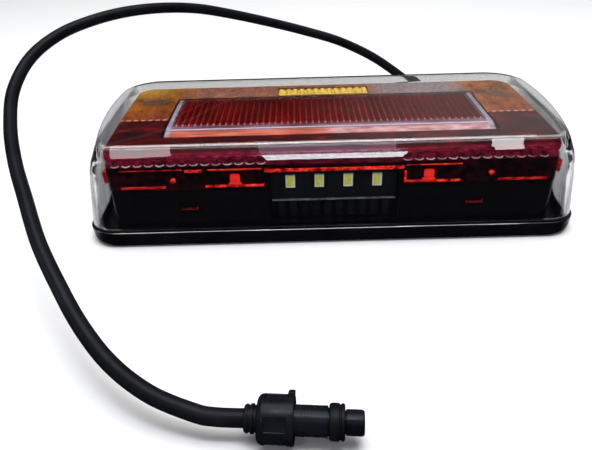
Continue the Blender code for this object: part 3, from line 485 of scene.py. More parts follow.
# Painted glow on the lamps' chips.
RED_LED = glowing("red_led", (0.4, 0.02, 0.02), (0.7, 0.06, 0.05), 1, 0.05)
AMBER_LED = glowing("amber_led", (0.7, 0.38, 0.03), (0.9, 0.6, 0.08), 1, 0.05)
STEEL = metal("zinc_steel", (0.5, 0.5, 0.5), (0.72, 0.72, 0.7), 0.25)
BRASS = metal("brass", (0.62, 0.42, 0.16), (0.82, 0.62, 0.28), 0.25)
# Painted highlight: the pale colour of the thin ledge over the plate lights.
LEDGE_HIGHLIGHT = moulded("ledge_painted_highlight", (0.08, 0.08, 0.085), (0.2, 0.2, 0.21), 0.2, 0.35, 1, 0.02)
# Painted glints: the pale rims at the foot of the flutes.
FLUTE_GLINT = moulded("flute_painted_glint", (0.1, 0.03, 0.04), (0.62, 0.5, 0.52), 0.15, 0.3, 1, 0.02)
DIM_RED = moulded("dim_red", (0.03, 0.001, 0.002), (0.24, 0.008, 0.008), 0.2, 0.3, 1, 0.02)
CORES = {
    "yellow": (0.8, 0.62, 0.05),
    "green": (0.03, 0.32, 0.1),
    "white": (0.8, 0.8, 0.77),
    "red": (0.55, 0.03, 0.03),
    "brown": (0.18, 0.08, 0.035),
}


# ---- mesh tools


def placed(name, data):
    made = bpy.data.objects.new(name, data)
    bpy.context.scene.collection.objects.link(made)
    return made


def from_bmesh(name, shape, material=None):
    bmesh.ops.recalc_face_normals(shape, faces=shape.faces)
    mesh = bpy.data.meshes.new(name)
    shape.to_mesh(mesh)
    shape.free()
    if material is not None:
        mesh.materials.append(material)
    return placed(name, mesh)


def soften(piece, angle=32):
    """Smooth shading, with edges sharper than angle kept."""
    piece.data.shade_smooth()
    piece.data.set_sharp_from_angle(angle=math.radians(angle))
    return piece


def applied(piece):
    """Turns the piece's modifiers into its mesh."""
    graph = bpy.context.evaluated_depsgraph_get()
    mesh = bpy.data.meshes.new_from_object(piece.evaluated_get(graph))
    old = piece.data
    piece.modifiers.clear()
    piece.data = mesh
    bpy.data.meshes.remove(old)
    return piece


def combine(target, operation, *others):
    """Joins the others to the target, cuts them out or keeps what they share, and removes them."""
    for other in others:
        modifier = target.modifiers.new(other.name, "BOOLEAN")
        modifier.operation = operation
        modifier.object = other
        modifier.solver = "EXACT"
    applied(target)
    for other in others:
        bpy.data.objects.remove(other)
    return target


def cut(target, *others):
    return combine(target, "DIFFERENCE", *others)


def fuse(target, *others):
    return combine(target, "UNION", *others)


def rounded_outline(half_x, front, back, front_radius, back_radius, bulge, arc=12, side=8):
    """Points of a rounded rectangle, anticlockwise, whose short sides swell by bulge."""
    reach = WIDEST_Y - front
    straight_x = half_x - bulge
    corners = (
        (1, front + front_radius, front_radius, -90),
        (1, back - back_radius, back_radius, 0),
        (-1, back - back_radius, back_radius, 90),
        (-1, front + front_radius, front_radius, 180),
    )
    points = []
    for index, (way, centre_y, radius, start) in enumerate(corners):
        centre_x = way * (straight_x - radius)
        for step in range(arc + 1):
            angle = math.radians(start + 90 * step / arc)
            points.append((centre_x + radius * math.cos(angle), centre_y + radius * math.sin(angle)))
        if index in (0, 2):
            next_y = corners[index + 1][1]
            for step in range(1, side + 1):
                share = step / (side + 1)
                points.append((way * straight_x, centre_y + (next_y - centre_y) * share))
    return [(x * (1 + bulge / straight_x * (1 - ((y - WIDEST_Y) / reach) ** 2)), y) for x, y in points]


def lamp_outline(inset_x, inset_y, bulge=SIDE_BULGE, front_radius=FRONT_RADIUS):
    radii = front_radius - 0.8 * inset_y, BACK_RADIUS - 0.8 * inset_y
    return rounded_outline(WIDTH / 2 - inset_x, FRONT + inset_y, BACK - inset_y, *radii, bulge)


def inner_outline(inset, side_inset=None):
    half_x = INNER_HALF_X - (inset if side_inset is None else side_inset)
    radii = INNER_FRONT_RADIUS - 0.6 * inset, INNER_BACK_RADIUS - 0.6 * inset
    return rounded_outline(half_x, INNER_FRONT + inset, INNER_BACK - inset, *radii, INNER_BULGE)


def rectangle(low_x, high_x, low_y, high_y):
    return [(low_x, low_y), (high_x, low_y), (high_x, high_y), (low_x, high_y)]


def rounded_rows(rows, radius=0.6):
    """Rounds the corners of a line of rows, cutting up to radius away on both sides of each."""
    rows = [Vector(row) for row in rows]
    made = [rows[0]]
    for before, corner, after in zip(rows, rows[1:], rows[2:]):
        start = corner.lerp(before, min(0.45, radius / (before.xyz - corner.xyz).length))
        end = corner.lerp(after, min(0.45, radius / (after.xyz - corner.xyz).length))
        for share in (0, 0.25, 0.5, 0.75, 1):
            made.append(start.lerp(corner, share).lerp(corner.lerp(end, share), share))
    return [*made, rows[-1]]


def add_walls(shape, lower, upper):
    for index in range(len(lower)):
        after = (index + 1) % len(lower)
        shape.faces.new((lower[index], lower[after], upper[after], upper[index]))


def loft(name, rings, material=None, closed=False):
    """A skin through rings of (height, outline), capped at both ends or closed on itself."""
    shape = bmesh.new()
    loops = [[shape.verts.new((x * MM, y * MM, z * MM)) for x, y in points] for z, points in rings]
    pairs = list(zip(loops, loops[1:]))
    if closed:
        pairs.append((loops[-1], loops[0]))
    else:
        shape.faces.new(loops[0])
        shape.faces.new(loops[-1])
    for lower, upper in pairs:
        add_walls(shape, lower, upper)
    return from_bmesh(name, shape, material)


def prism(name, points, low, high, material=None, axis="X"):
    """An outline pushed along an axis: (y, z) points along X, or (x, z) points along Y."""
    shape = bmesh.new()
    ends = []
    for at in (low, high):
        if axis == "X":
            ends.append([shape.verts.new((at * MM, a * MM, b * MM)) for a, b in points])
        else:
            ends.append([shape.verts.new((a * MM, at * MM, b * MM)) for a, b in points])
    shape.faces.new(ends[0])
    shape.faces.new(ends[1])
    add_walls(shape, *ends)
    return from_bmesh(name, shape, material)


def block(name, low, high, material=None, bevel=0, segments=3):
    """A box with rounded edges."""
    low, high = Vector(low) * MM, Vector(high) * MM
    shape = bmesh.new()
    matrix = Matrix.Translation((low + high) / 2) @ Matrix.Diagonal((*(high - low), 1))
    bmesh.ops.create_cube(shape, size=1, matrix=matrix)
    if bevel:
        edges = {"geom": shape.edges[:], "affect": "EDGES"}
        bmesh.ops.bevel(shape, offset=bevel * MM, segments=segments, profile=0.5, **edges)
    return from_bmesh(name, shape, material)


def rod(name, start, end, radius, material=None, segments=32):
    start, end = Vector(start) * MM, Vector(end) * MM
    shape = bmesh.new()
    turn = (end - start).to_track_quat("Z", "Y").to_matrix().to_4x4()
    matrix = Matrix.Translation((start + end) / 2) @ turn
    sizes = {"radius1": radius * MM, "radius2": radius * MM, "depth": (end - start).length}
    bmesh.ops.create_cone(shape, cap_ends=True, segments=segments, matrix=matrix, **sizes)
    return from_bmesh(name, shape, material)


def lathe(name, profile, material, matrix, steps=64, ring=False):
    """A turned solid. The profile of (radius, height) may start and end on the axis, and a ring's
    profile closes on itself round its bore."""
    shape = bmesh.new()
    loops = []
    for radius, height in profile:
        if radius < 1e-6:
            loops.append([shape.verts.new(matrix @ Vector((0, 0, height * MM)))])
            continue
        loop = []
        for step in range(steps):
            angle = 2 * math.pi * step / steps
            around = Vector((radius * math.cos(angle), radius * math.sin(angle), height)) * MM
            loop.append(shape.verts.new(matrix @ around))
        loops.append(loop)
    pairs = list(zip(loops, loops[1:]))
    if ring:
        pairs.append((loops[-1], loops[0]))
    for first, second in pairs:
        for step in range(steps):
            after = (step + 1) % steps
            corners = [first[step % len(first)], first[after % len(first)]]
            corners += [second[after % len(second)], second[step % len(second)]]
            shape.faces.new(list(dict.fromkeys(corners)))
    return soften(from_bmesh(name, shape, material), 35)


def along(point, direction):
    """Places a turned solid with its foot at the point and its axis along the direction."""
    turn = Vector(direction).to_track_quat("Z", "Y").to_matrix().to_4x4()
    return Matrix.Translation(Vector(point) * MM) @ turn


def joined(name, pieces, material):
    """One mesh of several separate closed shapes that don't touch."""
    shape = bmesh.new()
    for piece in pieces:
        shape.from_mesh(piece.data)
        bpy.data.objects.remove(piece)
    return from_bmesh(name, shape, material)


def settle(piece, slot, *nodes, body=LAMP):
    """The piece rides on its body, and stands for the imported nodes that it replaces."""
    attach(piece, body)
    if nodes:
        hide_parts(*nodes)
    return piece


# ---- camera and lead


def camera():
    """The view from above the lamp's front wall, turned very slightly."""
    yaw, pitch, roll = -0.008, 0.553, -0.030
    forward = Vector((math.sin(yaw) * math.cos(pitch), math.cos(yaw) * math.cos(pitch), -math.sin(pitch)))
    level = Vector((math.cos(yaw), -math.sin(yaw), 0))
    above = level.cross(forward)
    right = math.cos(roll) * level + math.sin(roll) * above
    up = math.cos(roll) * above - math.sin(roll) * level
    data = bpy.data.cameras.new("camera")
    data.sensor_width, data.lens = 36, 34.54
    data.clip_start, data.clip_end = 0.01, 20
    made = placed("camera", data)
    turn = Matrix((right, up, -forward)).transposed().to_4x4()
    made.matrix_world = Matrix.Translation(Vector((-15.05, -275.2, 148.32)) * MM) @ turn
    bpy.context.scene.camera = made


def plug_direction():
    angle = math.radians(PLUG_TURN)
    return Vector((math.cos(angle), math.sin(angle), 0))


def lead():
    """The round lead as one smooth curve through its route."""
    near_end, end = PLUG_POINT - 9 * plug_direction(), PLUG_POINT + LEAD_SEAT * plug_direction()
    start = LEAD_EXIT - LEAD_SEAT * (Vector(LEAD_POINTS[0]) - LEAD_EXIT).normalized()
    route = [start, *(Vector(point) for point in LEAD_POINTS), near_end, end]
    route = [point * MM for point in route]
    knots = [2 * route[0] - route[1], *route, 2 * route[-1] - route[-2]]
    curve = bpy.data.curves.new("lead", "CURVE")
    curve.dimensions = "3D"
    curve.bevel_depth, curve.bevel_resolution = LEAD_RADIUS * MM, 8
    curve.resolution_u = 10
    curve.use_fill_caps = True
    spline = curve.splines.new("BEZIER")
    spline.bezier_points.add(len(route) - 1)
    for index, point in enumerate(spline.bezier_points):
        reach = (knots[index + 2] - knots[index]) / 6
        point.handle_left_type = point.handle_right_type = "FREE"
        point.co = route[index]
        point.handle_left, point.handle_right = route[index] - reach, route[index] + reach
    curve.materials.append(LEAD)
    return settle(placed("lead", curve), "black_rubber", "cable")


# ---- casing


def housing():
    """The black tray: a shallow dish with screw posts, insert bosses and the lead's tab."""
    inner = [(BASE_TOP, BASE_WALL + 0.4, BASE_WALL + 0.4), (BASE_FLOOR, BASE_WALL + 0.8, BASE_WALL + 0.8)]
    rows = [*rounded_rows(BASE_ROWS, 0.3), *inner]
    base = loft("housing", [(z, lamp_outline(*inset)) for z, *inset in rows], BLACK_GLOSS)
    raised = [rod("post", (x, y, 1.4), (x, y, 13.7), 4) for x, y in POST_SPOTS]
    raised += [rod("boss", (x, 0, 1.4), (x, 0, 12.8), 7.5) for x in (-INSERT_X, INSERT_X)]
    low_x, high_x = OUTLET_X - OUTLET_HALF_X, OUTLET_X + OUTLET_HALF_X
    raised.append(block("lead_tab", (low_x, BACK - 3.1, BASE_FLOOR - 1), (high_x, BACK - 0.1, OUTLET_TOP)))
    fuse(base, *raised)
    holes = [rod("post_hole", (x, y, 4.4), (x, y, 15.6), 1.6) for x, y in POST_SPOTS]
    holes += [rod("insert_hole", (x, 0, -1), (x, 0, 9.9), INSERT_HOLE) for x in (-INSERT_X, INSERT_X)]
    holes.append(rod("vent_hole", (*VENT_SPOT, -1), (*VENT_SPOT, 4.4), VENT_RADIUS))
    holes.append(rod("lead_hole", (OUTLET_X, BACK - 6, OUTLET_Z), (OUTLET_X, BACK + 1, OUTLET_Z), 5))
    soften(cut(base, *holes))
    settle(base, "black_gloss", "base_housing")


def tab_notch(extra, bottom, top):
    """Cuts a way for the lead's tab."""
    half = OUTLET_HALF_X + extra
    return block("tab_notch", (OUTLET_X - half, BACK - 6, bottom), (OUTLET_X + half, BACK + 2, top))


def seal():
    rows = (8.2, 1), (8.7, 1), (8.7, 2.9), (8.2, 2.9)
    made = loft("cover_seal", [(z, lamp_outline(by, by)) for z, by in rows], RUBBER, closed=True)
    soften(cut(made, tab_notch(GAP, BASE_TOP, 9)))
    settle(made, "black_rubber", "lens_seal")


def cover():
    """The clear cover: thick walls with rounded edges and a raised number plate window."""
    outer_rows = [*COVER_ROWS[:-1], (49.4, 8, 5.5, 7.4, 10), (HEIGHT, 8.8, 6.3, 7.4, 10)]
    inner_rows = []
    for z, inset_x, inset_y, bulge, radius in COVER_ROWS[:-1]:
        rise = max(0, (z - 40.5) / (HEIGHT - 40.5))
        step = COVER_WALL * (1 - 0.6 * rise)
        inner_rows.append((z - COVER_TOP_WALL * rise, inset_x + step, inset_y + step, bulge, radius))
    inner_rows.append((HEIGHT - COVER_TOP_WALL, 9.6, 7, *COVER_ROWS[-1][3:]))
    rows = [*reversed(rounded_rows(outer_rows)), *rounded_rows(inner_rows)]
    made = loft("clear_cover", [(z, lamp_outline(*rest)) for z, *rest in rows], CLEAR)
    low_x, high_x = PLATE_LOW_X + 0.3, PLATE_HIGH_X - 0.3
    face = rectangle(low_x, high_x, FRONT + 0.2, FRONT + 2)
    head = rectangle(low_x - 3, high_x + 3, FRONT + 2.7, FRONT + 4.4)
    window = loft("window", [(PLATE_BOTTOM, face), (43.4, face), (45.3, head)])
    fuse(made, window)
    cut(made, tab_notch(GAP, 8, OUTLET_TOP + GAP))
    soften(made, 15)
    for face in made.data.polygons:
        face.use_smooth = abs(face.normal.z) < 0.9999
    settle(made, "clear_lens", "outer_lens")


def bezel():
    """The black inner wall, with the plate light's recess and the slots of the red snap lugs."""
    inset = 0.4
    rows = [(2.7, inset), (26.6, inset), (27, inset + 0.1), (BEZEL_TOP, inset + 0.5)]
    rows += [(BEZEL_TOP, inset + BEZEL_WALL), (2.7, inset + BEZEL_WALL)]
    made = loft("bezel", [(z, inner_outline(by)) for z, by in rows], BEZEL, closed=True)
    low = (PLATE_LOW_X - 1.8, INNER_FRONT - 0.6, PLATE_BOTTOM - 1.2)
    high = (PLATE_HIGH_X + 1.8, PLATE_BOARD_BACK + 1.7, PLATE_TOP + 0.7)
    raised = [block("recess_block", low, high)]
    for side in (-1, 1):
        for z in (24.7, 22.2):
            start, end = sorted((side * 33.5, side * 76))
            raised.append(block("ridge", (start, -46, z), (end, -45, z + 0.5), bevel=0.12))
    fuse(made, *raised)
    low = (PLATE_LOW_X, INNER_FRONT - 5, PLATE_BOTTOM)
    high = (PLATE_HIGH_X, PLATE_BOARD_BACK + 0.3, PLATE_TOP)
    cuts = [block("recess", low, high)]
    low, high = (OUTLET_X - 8, INNER_BACK - 5, BASE_FLOOR), (OUTLET_X + 8, INNER_BACK + 2, OUTLET_TOP)
    cuts.append(block("core_way", low, high))
    for x in (-LUG_X, LUG_X):
        cuts.append(block("lug_slot", (x - 4.6, INNER_FRONT - 2, 15.4), (x + 4.6, -43.6, 19.2)))
    soften(cut(made, *cuts), 25)
    settle(made, "black_gloss", "inner_bezel")
    lugs = []
    for x in (-LUG_X, LUG_X):
        hook = [(x - 4, 16.7), (x + 4, 16.7), (x + 4, 18.6), (x + 3.4, 18.4), (x + 3.2, 17.5)]
        hook += [(x - 3.2, 17.5), (x - 3.4, 18.1), (x - 4, 18.2)]
        lugs.append(prism("lug", hook, -45.5, -44.2, axis="Y"))
    settle(joined("snap_lugs", lugs, DIM_RED), "red_lens")


# ---- coloured lenses

# Dark pockets in the red lens's front wall, as (low x, high x, top)
POCKETS = (
    (-100, -74.2, 37.2), (-71.5, -58, 35.8), (-55.8, -31, 36.8),
    (33, 56.4, 36.8), (58.6, 72, 35.6), (74.2, 96, 37.2),
)


def cap_solid(name, material, half):
    """A cap with a chamfered edge, cut to one half and open for the reflector."""
    rings = [
        (CAP_TOP, inner_outline(CAP_CHAMFER, CAP_SIDE_CHAMFER)),
        (CAP_TOP - 0.5, inner_outline(CAP_CHAMFER - 0.7, CAP_SIDE_CHAMFER - 0.4)),
        (CAP_TOP - CAP_CHAMFER + 0.5, inner_outline(0.25)),
        (CAP_TOP - CAP_CHAMFER - 0.4, inner_outline(0)),
        (CAP_BOTTOM, inner_outline(0)),
        (CAP_BOTTOM, inner_outline(CAP_WALL)),
        (CAP_TOP - CAP_CHAMFER - 0.3 * CAP_WALL, inner_outline(CAP_WALL)),
    ]
    inset, side_inset = CAP_CHAMFER + 0.4 * CAP_WALL, CAP_SIDE_CHAMFER + 0.9 * CAP_WALL
    rings.append((CAP_TOP - CAP_WALL, inner_outline(inset, side_inset)))
    made = loft(name, rings, material)
    combine(made, "INTERSECT", half)
    low, high = (-FRAME_X - 0.05, FRAME_FRONT - GAP, 0), (FRAME_X + 0.05, FRAME_BACK + 0.05, 60)
    return cut(made, block("opening", low, high))


def ribbed_half(low_y, high_y, pitch, depth):
    """A half space whose top is ribbed along the lamp."""
    points = [(low_y, 0), (high_y, 0), (high_y, CAP_TOP + 1)]
    count = round((high_y - low_y) / pitch)
    step = (high_y - low_y) / count
    for index in range(count):
        y = high_y - index * step
        for share, cut in ((0, 1), (0.25, 0.25), (0.5, 0), (0.75, 0.25)):
            points.append((y - share * step, CAP_TOP + 0.02 - cut * depth))
    points.append((low_y, CAP_TOP + 1))
    points[2] = (high_y, CAP_TOP - depth)
    return prism("ribbed_half", points, -WIDTH, WIDTH)


def red_lens():
    """The red cap, with upright flutes behind its front edge and pockets in its front wall."""
    made = cap_solid("red_lens", RED, ribbed_half(INNER_FRONT - 10, SPLIT_Y - GAP / 2, 1.7, 0.1))
    profile = (0, 3.6), (1.9, 3.6), (1.9, 0.5), (1.4, 0), (0, 0)
    flutes = []
    for x in FLUTES_X:
        bottom = FLUTE_BOTTOM if abs(x - PLATE_X) > PLATE_HALF_X + 2 else FLUTE_BOTTOM + 0.7
        flutes.append(lathe("flute", profile, None, along((x, FLUTE_Y, bottom), (0, 0, 1)), steps=16))
    fuse(made, *flutes)
    low = (PLATE_LOW_X - 2.2, INNER_FRONT - 5, 0)
    high = (PLATE_HIGH_X + 2.2, INNER_FRONT + 5, PLATE_TOP + 1.1)
    cuts = [block("plate_notch", low, high)]
    for low_x, high_x, top in POCKETS:
        cuts.append(block("pocket", (low_x, INNER_FRONT - 3, 29.8), (high_x, -45, top)))
    cut(made, *cuts)
    soften(made, 28)
    settle(made, "red_lens", "red_inner_lens")


def red_guides():
    """Edges and posts of the red lens along its front wall, bright with a painted glow."""
    bars = []

    def bar(low_x, high_x, low_z, high_z, out=0.35, bevel=0.25):
        low, high = (low_x, INNER_FRONT - out, low_z), (high_x, INNER_FRONT + 0.9, high_z)
        bars.append(block("bar", low, high, bevel=bevel, segments=2))

    for low_x, high_x in ((-95.6, -75.3), (-57.3, -30.2), (31.6, 57.9), (75, 97)):
        bar(low_x, high_x, 28.5, 29.7)
    bar(-66.2, -57.4, 36, 37.6, bevel=0.6)
    bar(-55.8, -31.4, 36.9, 37.6)
    bar(33.2, 58, 36.9, 37.5)
    bar(-95, -67, 37.4, 37.8, bevel=0.12)
    bar(PLATE_LOW_X - 1.6, PLATE_HIGH_X + 1.6, 35.6, 37.2, 0.45)
    for x in (-43.6, 43.7):
        bar(x - 3, x + 2.8, 29.75, 30.5, 0.2, 0.3)
        bar(x - 2.4, x + 2.2, 30.52, 34.7, 0.2, 0.9)
    bar(32, 33.6, 29.75, 34.4, 0.3, 0.4)
    stud = (0, 1.3), (1.2, 1.3), (1.2, 0.3), (0.9, 0.05), (0, 0)
    for x in (-71.7, 71.7):
        bars.append(lathe("stud", stud, None, along((x, -46.4, 32.2), (0, 1, 0)), steps=24))
    for side in (-1, 1):
        start, end = sorted((side * 102.4, side * 104))
        bars.append(block("end", (start, -43.6, 30.4), (end, -40.6, 36.6), bevel=0.7))
    settle(soften(joined("red_light_guides", bars, RED_GUIDE_GLOW), 40), "red_lens")


def flute_glint_rims():
    """The pale lower rims of the flutes along the red lens, whose pale colour is a painted glint."""
    turns = [0.25 * math.pi * step for step in range(8)]
    section = [(1.95 + 0.24 * math.cos(turn), 0.24 * math.sin(turn)) for turn in turns]
    rims = []
    for x in FLUTES_X:
        if abs(x - PLATE_X) > PLATE_HALF_X + 2:
            matrix = along((x, FLUTE_Y, FLUTE_BOTTOM), (0, 0, 1))
            rims.append(lathe("rim", section, None, matrix, steps=24, ring=True))
    settle(soften(joined("flute_glint_rims", rims, FLUTE_GLINT), 60), "red_lens")


def amber_lens():
    """The amber cap, with a slot for the turn light's beads."""
    made = cap_solid("amber_lens", AMBER, ribbed_half(SPLIT_Y + GAP / 2, INNER_BACK + 10, 1.9, 0.08))
    low, high = (BAR_X[0] - GAP, BAR_Y[0] - GAP, 0), (BAR_X[1] + GAP, BAR_Y[1] + GAP, HEIGHT)
    soften(cut(made, block("bar_slot", low, high)), 28)
    settle(made, "amber_lens", "amber_inner_lens")


def turn_bar():
    """Yellow beads in a row on their carrier."""
    low, high = (BAR_X[0], BAR_Y[0], BAR_Z[0]), (BAR_X[1], BAR_Y[1], BAR_Z[1] - 0.9)
    made = block("turn_bar", low, high, BEADS, bevel=0.25)
    pitch, row = (BAR_X[1] - BAR_X[0]) / BAR_BEADS, (BAR_Y[1] - BAR_Y[0]) / 3
    beads = []
    for index in range(3 * BAR_BEADS):
        x = BAR_X[0] + (index // 3 + 0.5) * pitch
        y = BAR_Y[0] + (index % 3 + 0.5) * row
        low = (x - 0.38 * pitch, y - 0.4 * row, BAR_Z[0] + 0.5)
        high = (x + 0.38 * pitch, y + 0.4 * row, BAR_Z[1])
        beads.append(block(f"bead_{index}", low, high, bevel=0.8))
    soften(fuse(made, *beads), 40)
    settle(made, "amber_led", "turn_light_bar")


def reflector():
    """Red prisms in ribs from front to back, chamfered at their front ends."""
    ribs = round(2 * REFLECTOR_X / RIB_PITCH)
    low = REFLECTOR_TOP - RIB_DEPTH
    points = [(REFLECTOR_X, REFLECTOR_BOTTOM), (-REFLECTOR_X, REFLECTOR_BOTTOM), (-REFLECTOR_X, low)]
    rib = (0.06, 0), (0.3, 0.45), (0.44, 0.95), (0.5, 1), (0.56, 0.95), (0.7, 0.45), (0.94, 0)
    for index in range(ribs):
        left = -REFLECTOR_X + index * RIB_PITCH
        for share, rise in rib:
            points.append((left + share * RIB_PITCH, low + rise * RIB_DEPTH))
    points.append((REFLECTOR_X, low))
    made = prism("reflector", points, REFLECTOR_FRONT, REFLECTOR_BACK, REFLEX, axis="Y")
    corner = [(-1, 45), (-0.01, 45), (1, 46.3), (1, 47), (-1, 47)]
    chamfer = prism("chamfer", [(REFLECTOR_FRONT + y, z) for y, z in corner], -90, 90)
    soften(cut(made, chamfer), 30)
    settle(made, "reflex_red", "reflex_reflector")


def reflector_frame():
    """The clear surround, and the coloured strip that shows through it."""

    def foot(inset):
        return rectangle(-FRAME_X + inset, FRAME_X - inset, FRAME_FRONT + inset, FRAME_BACK - inset)

    def crown(inset):
        half = FRAME_X - 0.2 - inset
        return rectangle(-half, half, FRAME_SLOPE_TOP_Y + inset, FRAME_BACK - 0.3 - inset)

    bore = rectangle(-REFLECTOR_X - GAP, REFLECTOR_X + GAP, REFLECTOR_FRONT - GAP, REFLECTOR_BACK + GAP)
    shell = [(FRAME_BOTTOM, foot(0)), (FRAME_SHOULDER, foot(0)), (CAP_TOP, crown(0)), (CAP_TOP, bore)]
    shell += [(CAP_TOP - 0.8, bore), (CAP_TOP - 0.8, crown(0.5))]
    shell += [(FRAME_SHOULDER - 0.5, foot(0.7)), (FRAME_BOTTOM, foot(0.7))]
    made = soften(loft("reflector_frame_clear", shell, FRAME_CLEAR, closed=True), 20)
    settle(made, "clear_lens", "reflector_frame")
    strip = [(FRAME_BOTTOM + 0.4, foot(0.8)), (FRAME_SHOULDER - 0.8, foot(0.8)), (CAP_TOP - 1, crown(0.7))]
    strip += [(CAP_TOP - 1, bore), (FRAME_BOTTOM + 0.4, bore)]
    settle(soften(loft("frame_liner", strip, LINER, closed=True), 20), "clear_lens")


# ---- number plate light


def plate_lights():
    """White lamps in pale packages, over a dark fluted wall with a thin ledge painted pale as a highlight.
    """
    width, thick, height = PLATE_LED_SIZE
    back = PLATE_BOARD_FRONT - GAP
    for index in range(4):
        x = PLATE_X + (index - 1.5) * PLATE_LED_PITCH
        low = (x - width / 2, back - thick, PLATE_LED_Z - height / 2)
        high = (x + width / 2, back, PLATE_LED_Z + height / 2)
        made = block(f"plate_lamp_{index + 1}", low, high, PACKAGE, bevel=0.15, segments=2)
        floor_y = low[1] + 0.12
        pit = (low[0] + 0.45, low[1] - 1, low[2] + 0.55), (high[0] - 0.75, floor_y, high[2] - 0.35)
        cut(made, block("pit", *pit))
        made.data.materials.append(PHOSPHOR)
        for face in made.data.polygons:
            if abs(face.center.y / MM - floor_y) < 0.03 and face.normal.y < -0.9:
                face.material_index = 1
        settle(made, "white_led", f"plate_led_{index + 1}")
    flutes = []
    for index in range(11):
        x = PLATE_LOW_X + 2.8 + index * 5.4
        flutes.append(rod("flute", (x, -42.9, PLATE_BOTTOM + 0.6), (x, -42.9, 19), 1))
    settle(soften(joined("plate_flutes", flutes, BEZEL), 40), "black_gloss")
    # The ledge's pale colour is a painted highlight.
    low, high = (PLATE_LOW_X + 1, -43.9, 19.5), (PLATE_HIGH_X - 1, -42.4, 19.8)
    settle(soften(block("plate_ledge", low, high, LEDGE_HIGHLIGHT, bevel=0.1)), "black_gloss")


# ---- lead outlet and plug


def outlet():
    """The gland, its lock nut inside the lamp and the ribbed boot round the lead."""
    matrix = along((OUTLET_X, 0, OUTLET_Z), (0, 1, 0))
    inside, outside, tail = BACK - 4, BACK + GAP, BOOT_START_Y - GAP
    gland = [(0, tail), (6, tail), (6.7, tail - 0.3), (7.2, tail - 1.2), (7.2, outside + 0.5)]
    gland += [(6.8, outside), (4.6, outside), (4.6, inside - 3), (0, inside - 3)]
    settle(lathe("gland", gland, BLACK_MATT, matrix), "black_matt", "cable_gland")
    start, end = (OUTLET_X, inside - 2.4, OUTLET_Z), (OUTLET_X, inside, OUTLET_Z)
    nut = rod("gland_lock_nut", start, end, 6.8, BLACK_MATT, segments=6)
    bore = rod("nut_bore", (OUTLET_X, inside - 4, OUTLET_Z), (OUTLET_X, inside + 1, OUTLET_Z), 4.9)
    settle(soften(cut(nut, bore)), "black_matt", "gland_nut")
    tip = BOOT_START_Y + BOOT_LENGTH
    boot = [(0, tip), (3.2, tip), (3.5, tip - 0.3)]
    for index in range(4):
        high = tip - 2 - index * 3
        radius = 3.6 + 1.6 * (index + 0.5) / 4
        boot += [(radius - 0.1, high + 0.1), (radius, high - 0.1), (radius - 0.5, high - 0.8)]
        boot += [(radius - 0.5, high - 1.8), (radius + 0.1, high - 2.3), (radius + 0.2, high - 2.5)]
    boot += [(5.6, BOOT_START_Y + 1.2), (5.6, BOOT_START_Y + 0.2), (5.4, BOOT_START_Y), (0, BOOT_START_Y)]
    settle(lathe("lead_boot", boot, RUBBER, matrix), "black_rubber", "cable_strain_relief")


def plug():
    """The plug's collar, body, seal ring and nose. Returns them."""
    matrix = along(PLUG_POINT, plug_direction())
    collar = [(0, 4.2), (4, 4.2), (4, 3), (4.35, 2.9), (4.5, 2.75), (4.5, 2.05), (4.35, 1.9)]
    collar += [(4, 1.8), (4, 1.3), (4.2, 1.2), (4.3, 1.05), (4.3, 0.5), (4.1, 0.2), (3.9, 0)]
    collar.append((0, 0))
    barrel = [(0, 30.2), (4.1, 30.2), (4.1, 25.3), (4.5, 25.3), (4.65, 25.15)]
    for index in range(8):
        groove = 24.2 - 1 * index
        barrel += [(4.65, groove + 0.3), (4.59, groove), (4.65, groove - 0.3)]
    barrel += [(4.65, 7.6), (5.4, 7.4), (5.4, 6), (4.1, 6), (4.1, 3.9), (0, 3.9)]
    seal_ring = [(4.4, 30.3), (4.9, 30.4), (5.4, 30.1), (5.5, 29.6), (5.45, 29.4), (5.1, 29.15), (5.1, 28.9)]
    seal_ring += [(5.45, 28.6), (5.55, 28.2), (5.55, 26.6), (5.35, 25.9), (4.9, 25.6), (4.4, 25.6)]
    nose = [(0, 32.8), (2.95, 32.8), (2.95, 35.9), (3.1, 36.2), (3.35, 36.2), (3.7, 35.9), (3.85, 35.3)]
    nose += [(3.85, 30.9), (3.7, 30.7), (3.4, 30.65), (3.4, 30.25), (0, 30.25)]
    return [
        settle(lathe("plug_collar", collar, RUBBER, matrix), "black_rubber", "plug_strain_relief"),
        settle(lathe("plug_barrel", barrel, BLACK_MATT, matrix), "black_matt", "plug_body"),
        settle(lathe("plug_seal", seal_ring, RUBBER, matrix, ring=True), "black_rubber", "plug_seal_ring"),
        settle(lathe("plug_nose", nose, BLACK_MATT, matrix), "black_matt", "plug_insert"),
    ]


def ring():
    """The coupling ring, with recessed grip panels round it and a tab on its front rim."""
    matrix = along(PLUG_POINT, plug_direction())
    profile = [(6.4, 15.2), (7.2, 15.2), (7.45, 15.1), (7.55, 14.85), (7.55, 5.8), (7.4, 5.1), (7, 4.5)]
    profile += [(6.5, 4.15), (6, 4), (4.5, 4), (4.5, 5.7), (6.4, 5.7)]
    made = lathe("coupling_nut", profile, BLACK_MATT, matrix, steps=80, ring=True)
    tab = block("tab", (-2.2, 6.95, 13.2), (2.2, 8.65, 15.2), bevel=0.25)
    tab.data.transform(matrix @ Matrix.Rotation(math.radians(-38), 4, "Z"))
    fuse(made, tab)
    grips = []
    for index in range(5):
        grip = block("grip", (-2.3, 7.05, 6.3), (2.3, 8.7, 13.1), bevel=0.3)
        grip.data.transform(matrix @ Matrix.Rotation(math.radians(52.5 + 72 * index), 4, "Z"))
        grips.append(grip)
    soften(cut(made, *grips), 35)
    return settle(made, "black_matt", "coupling_ring", body=RING)


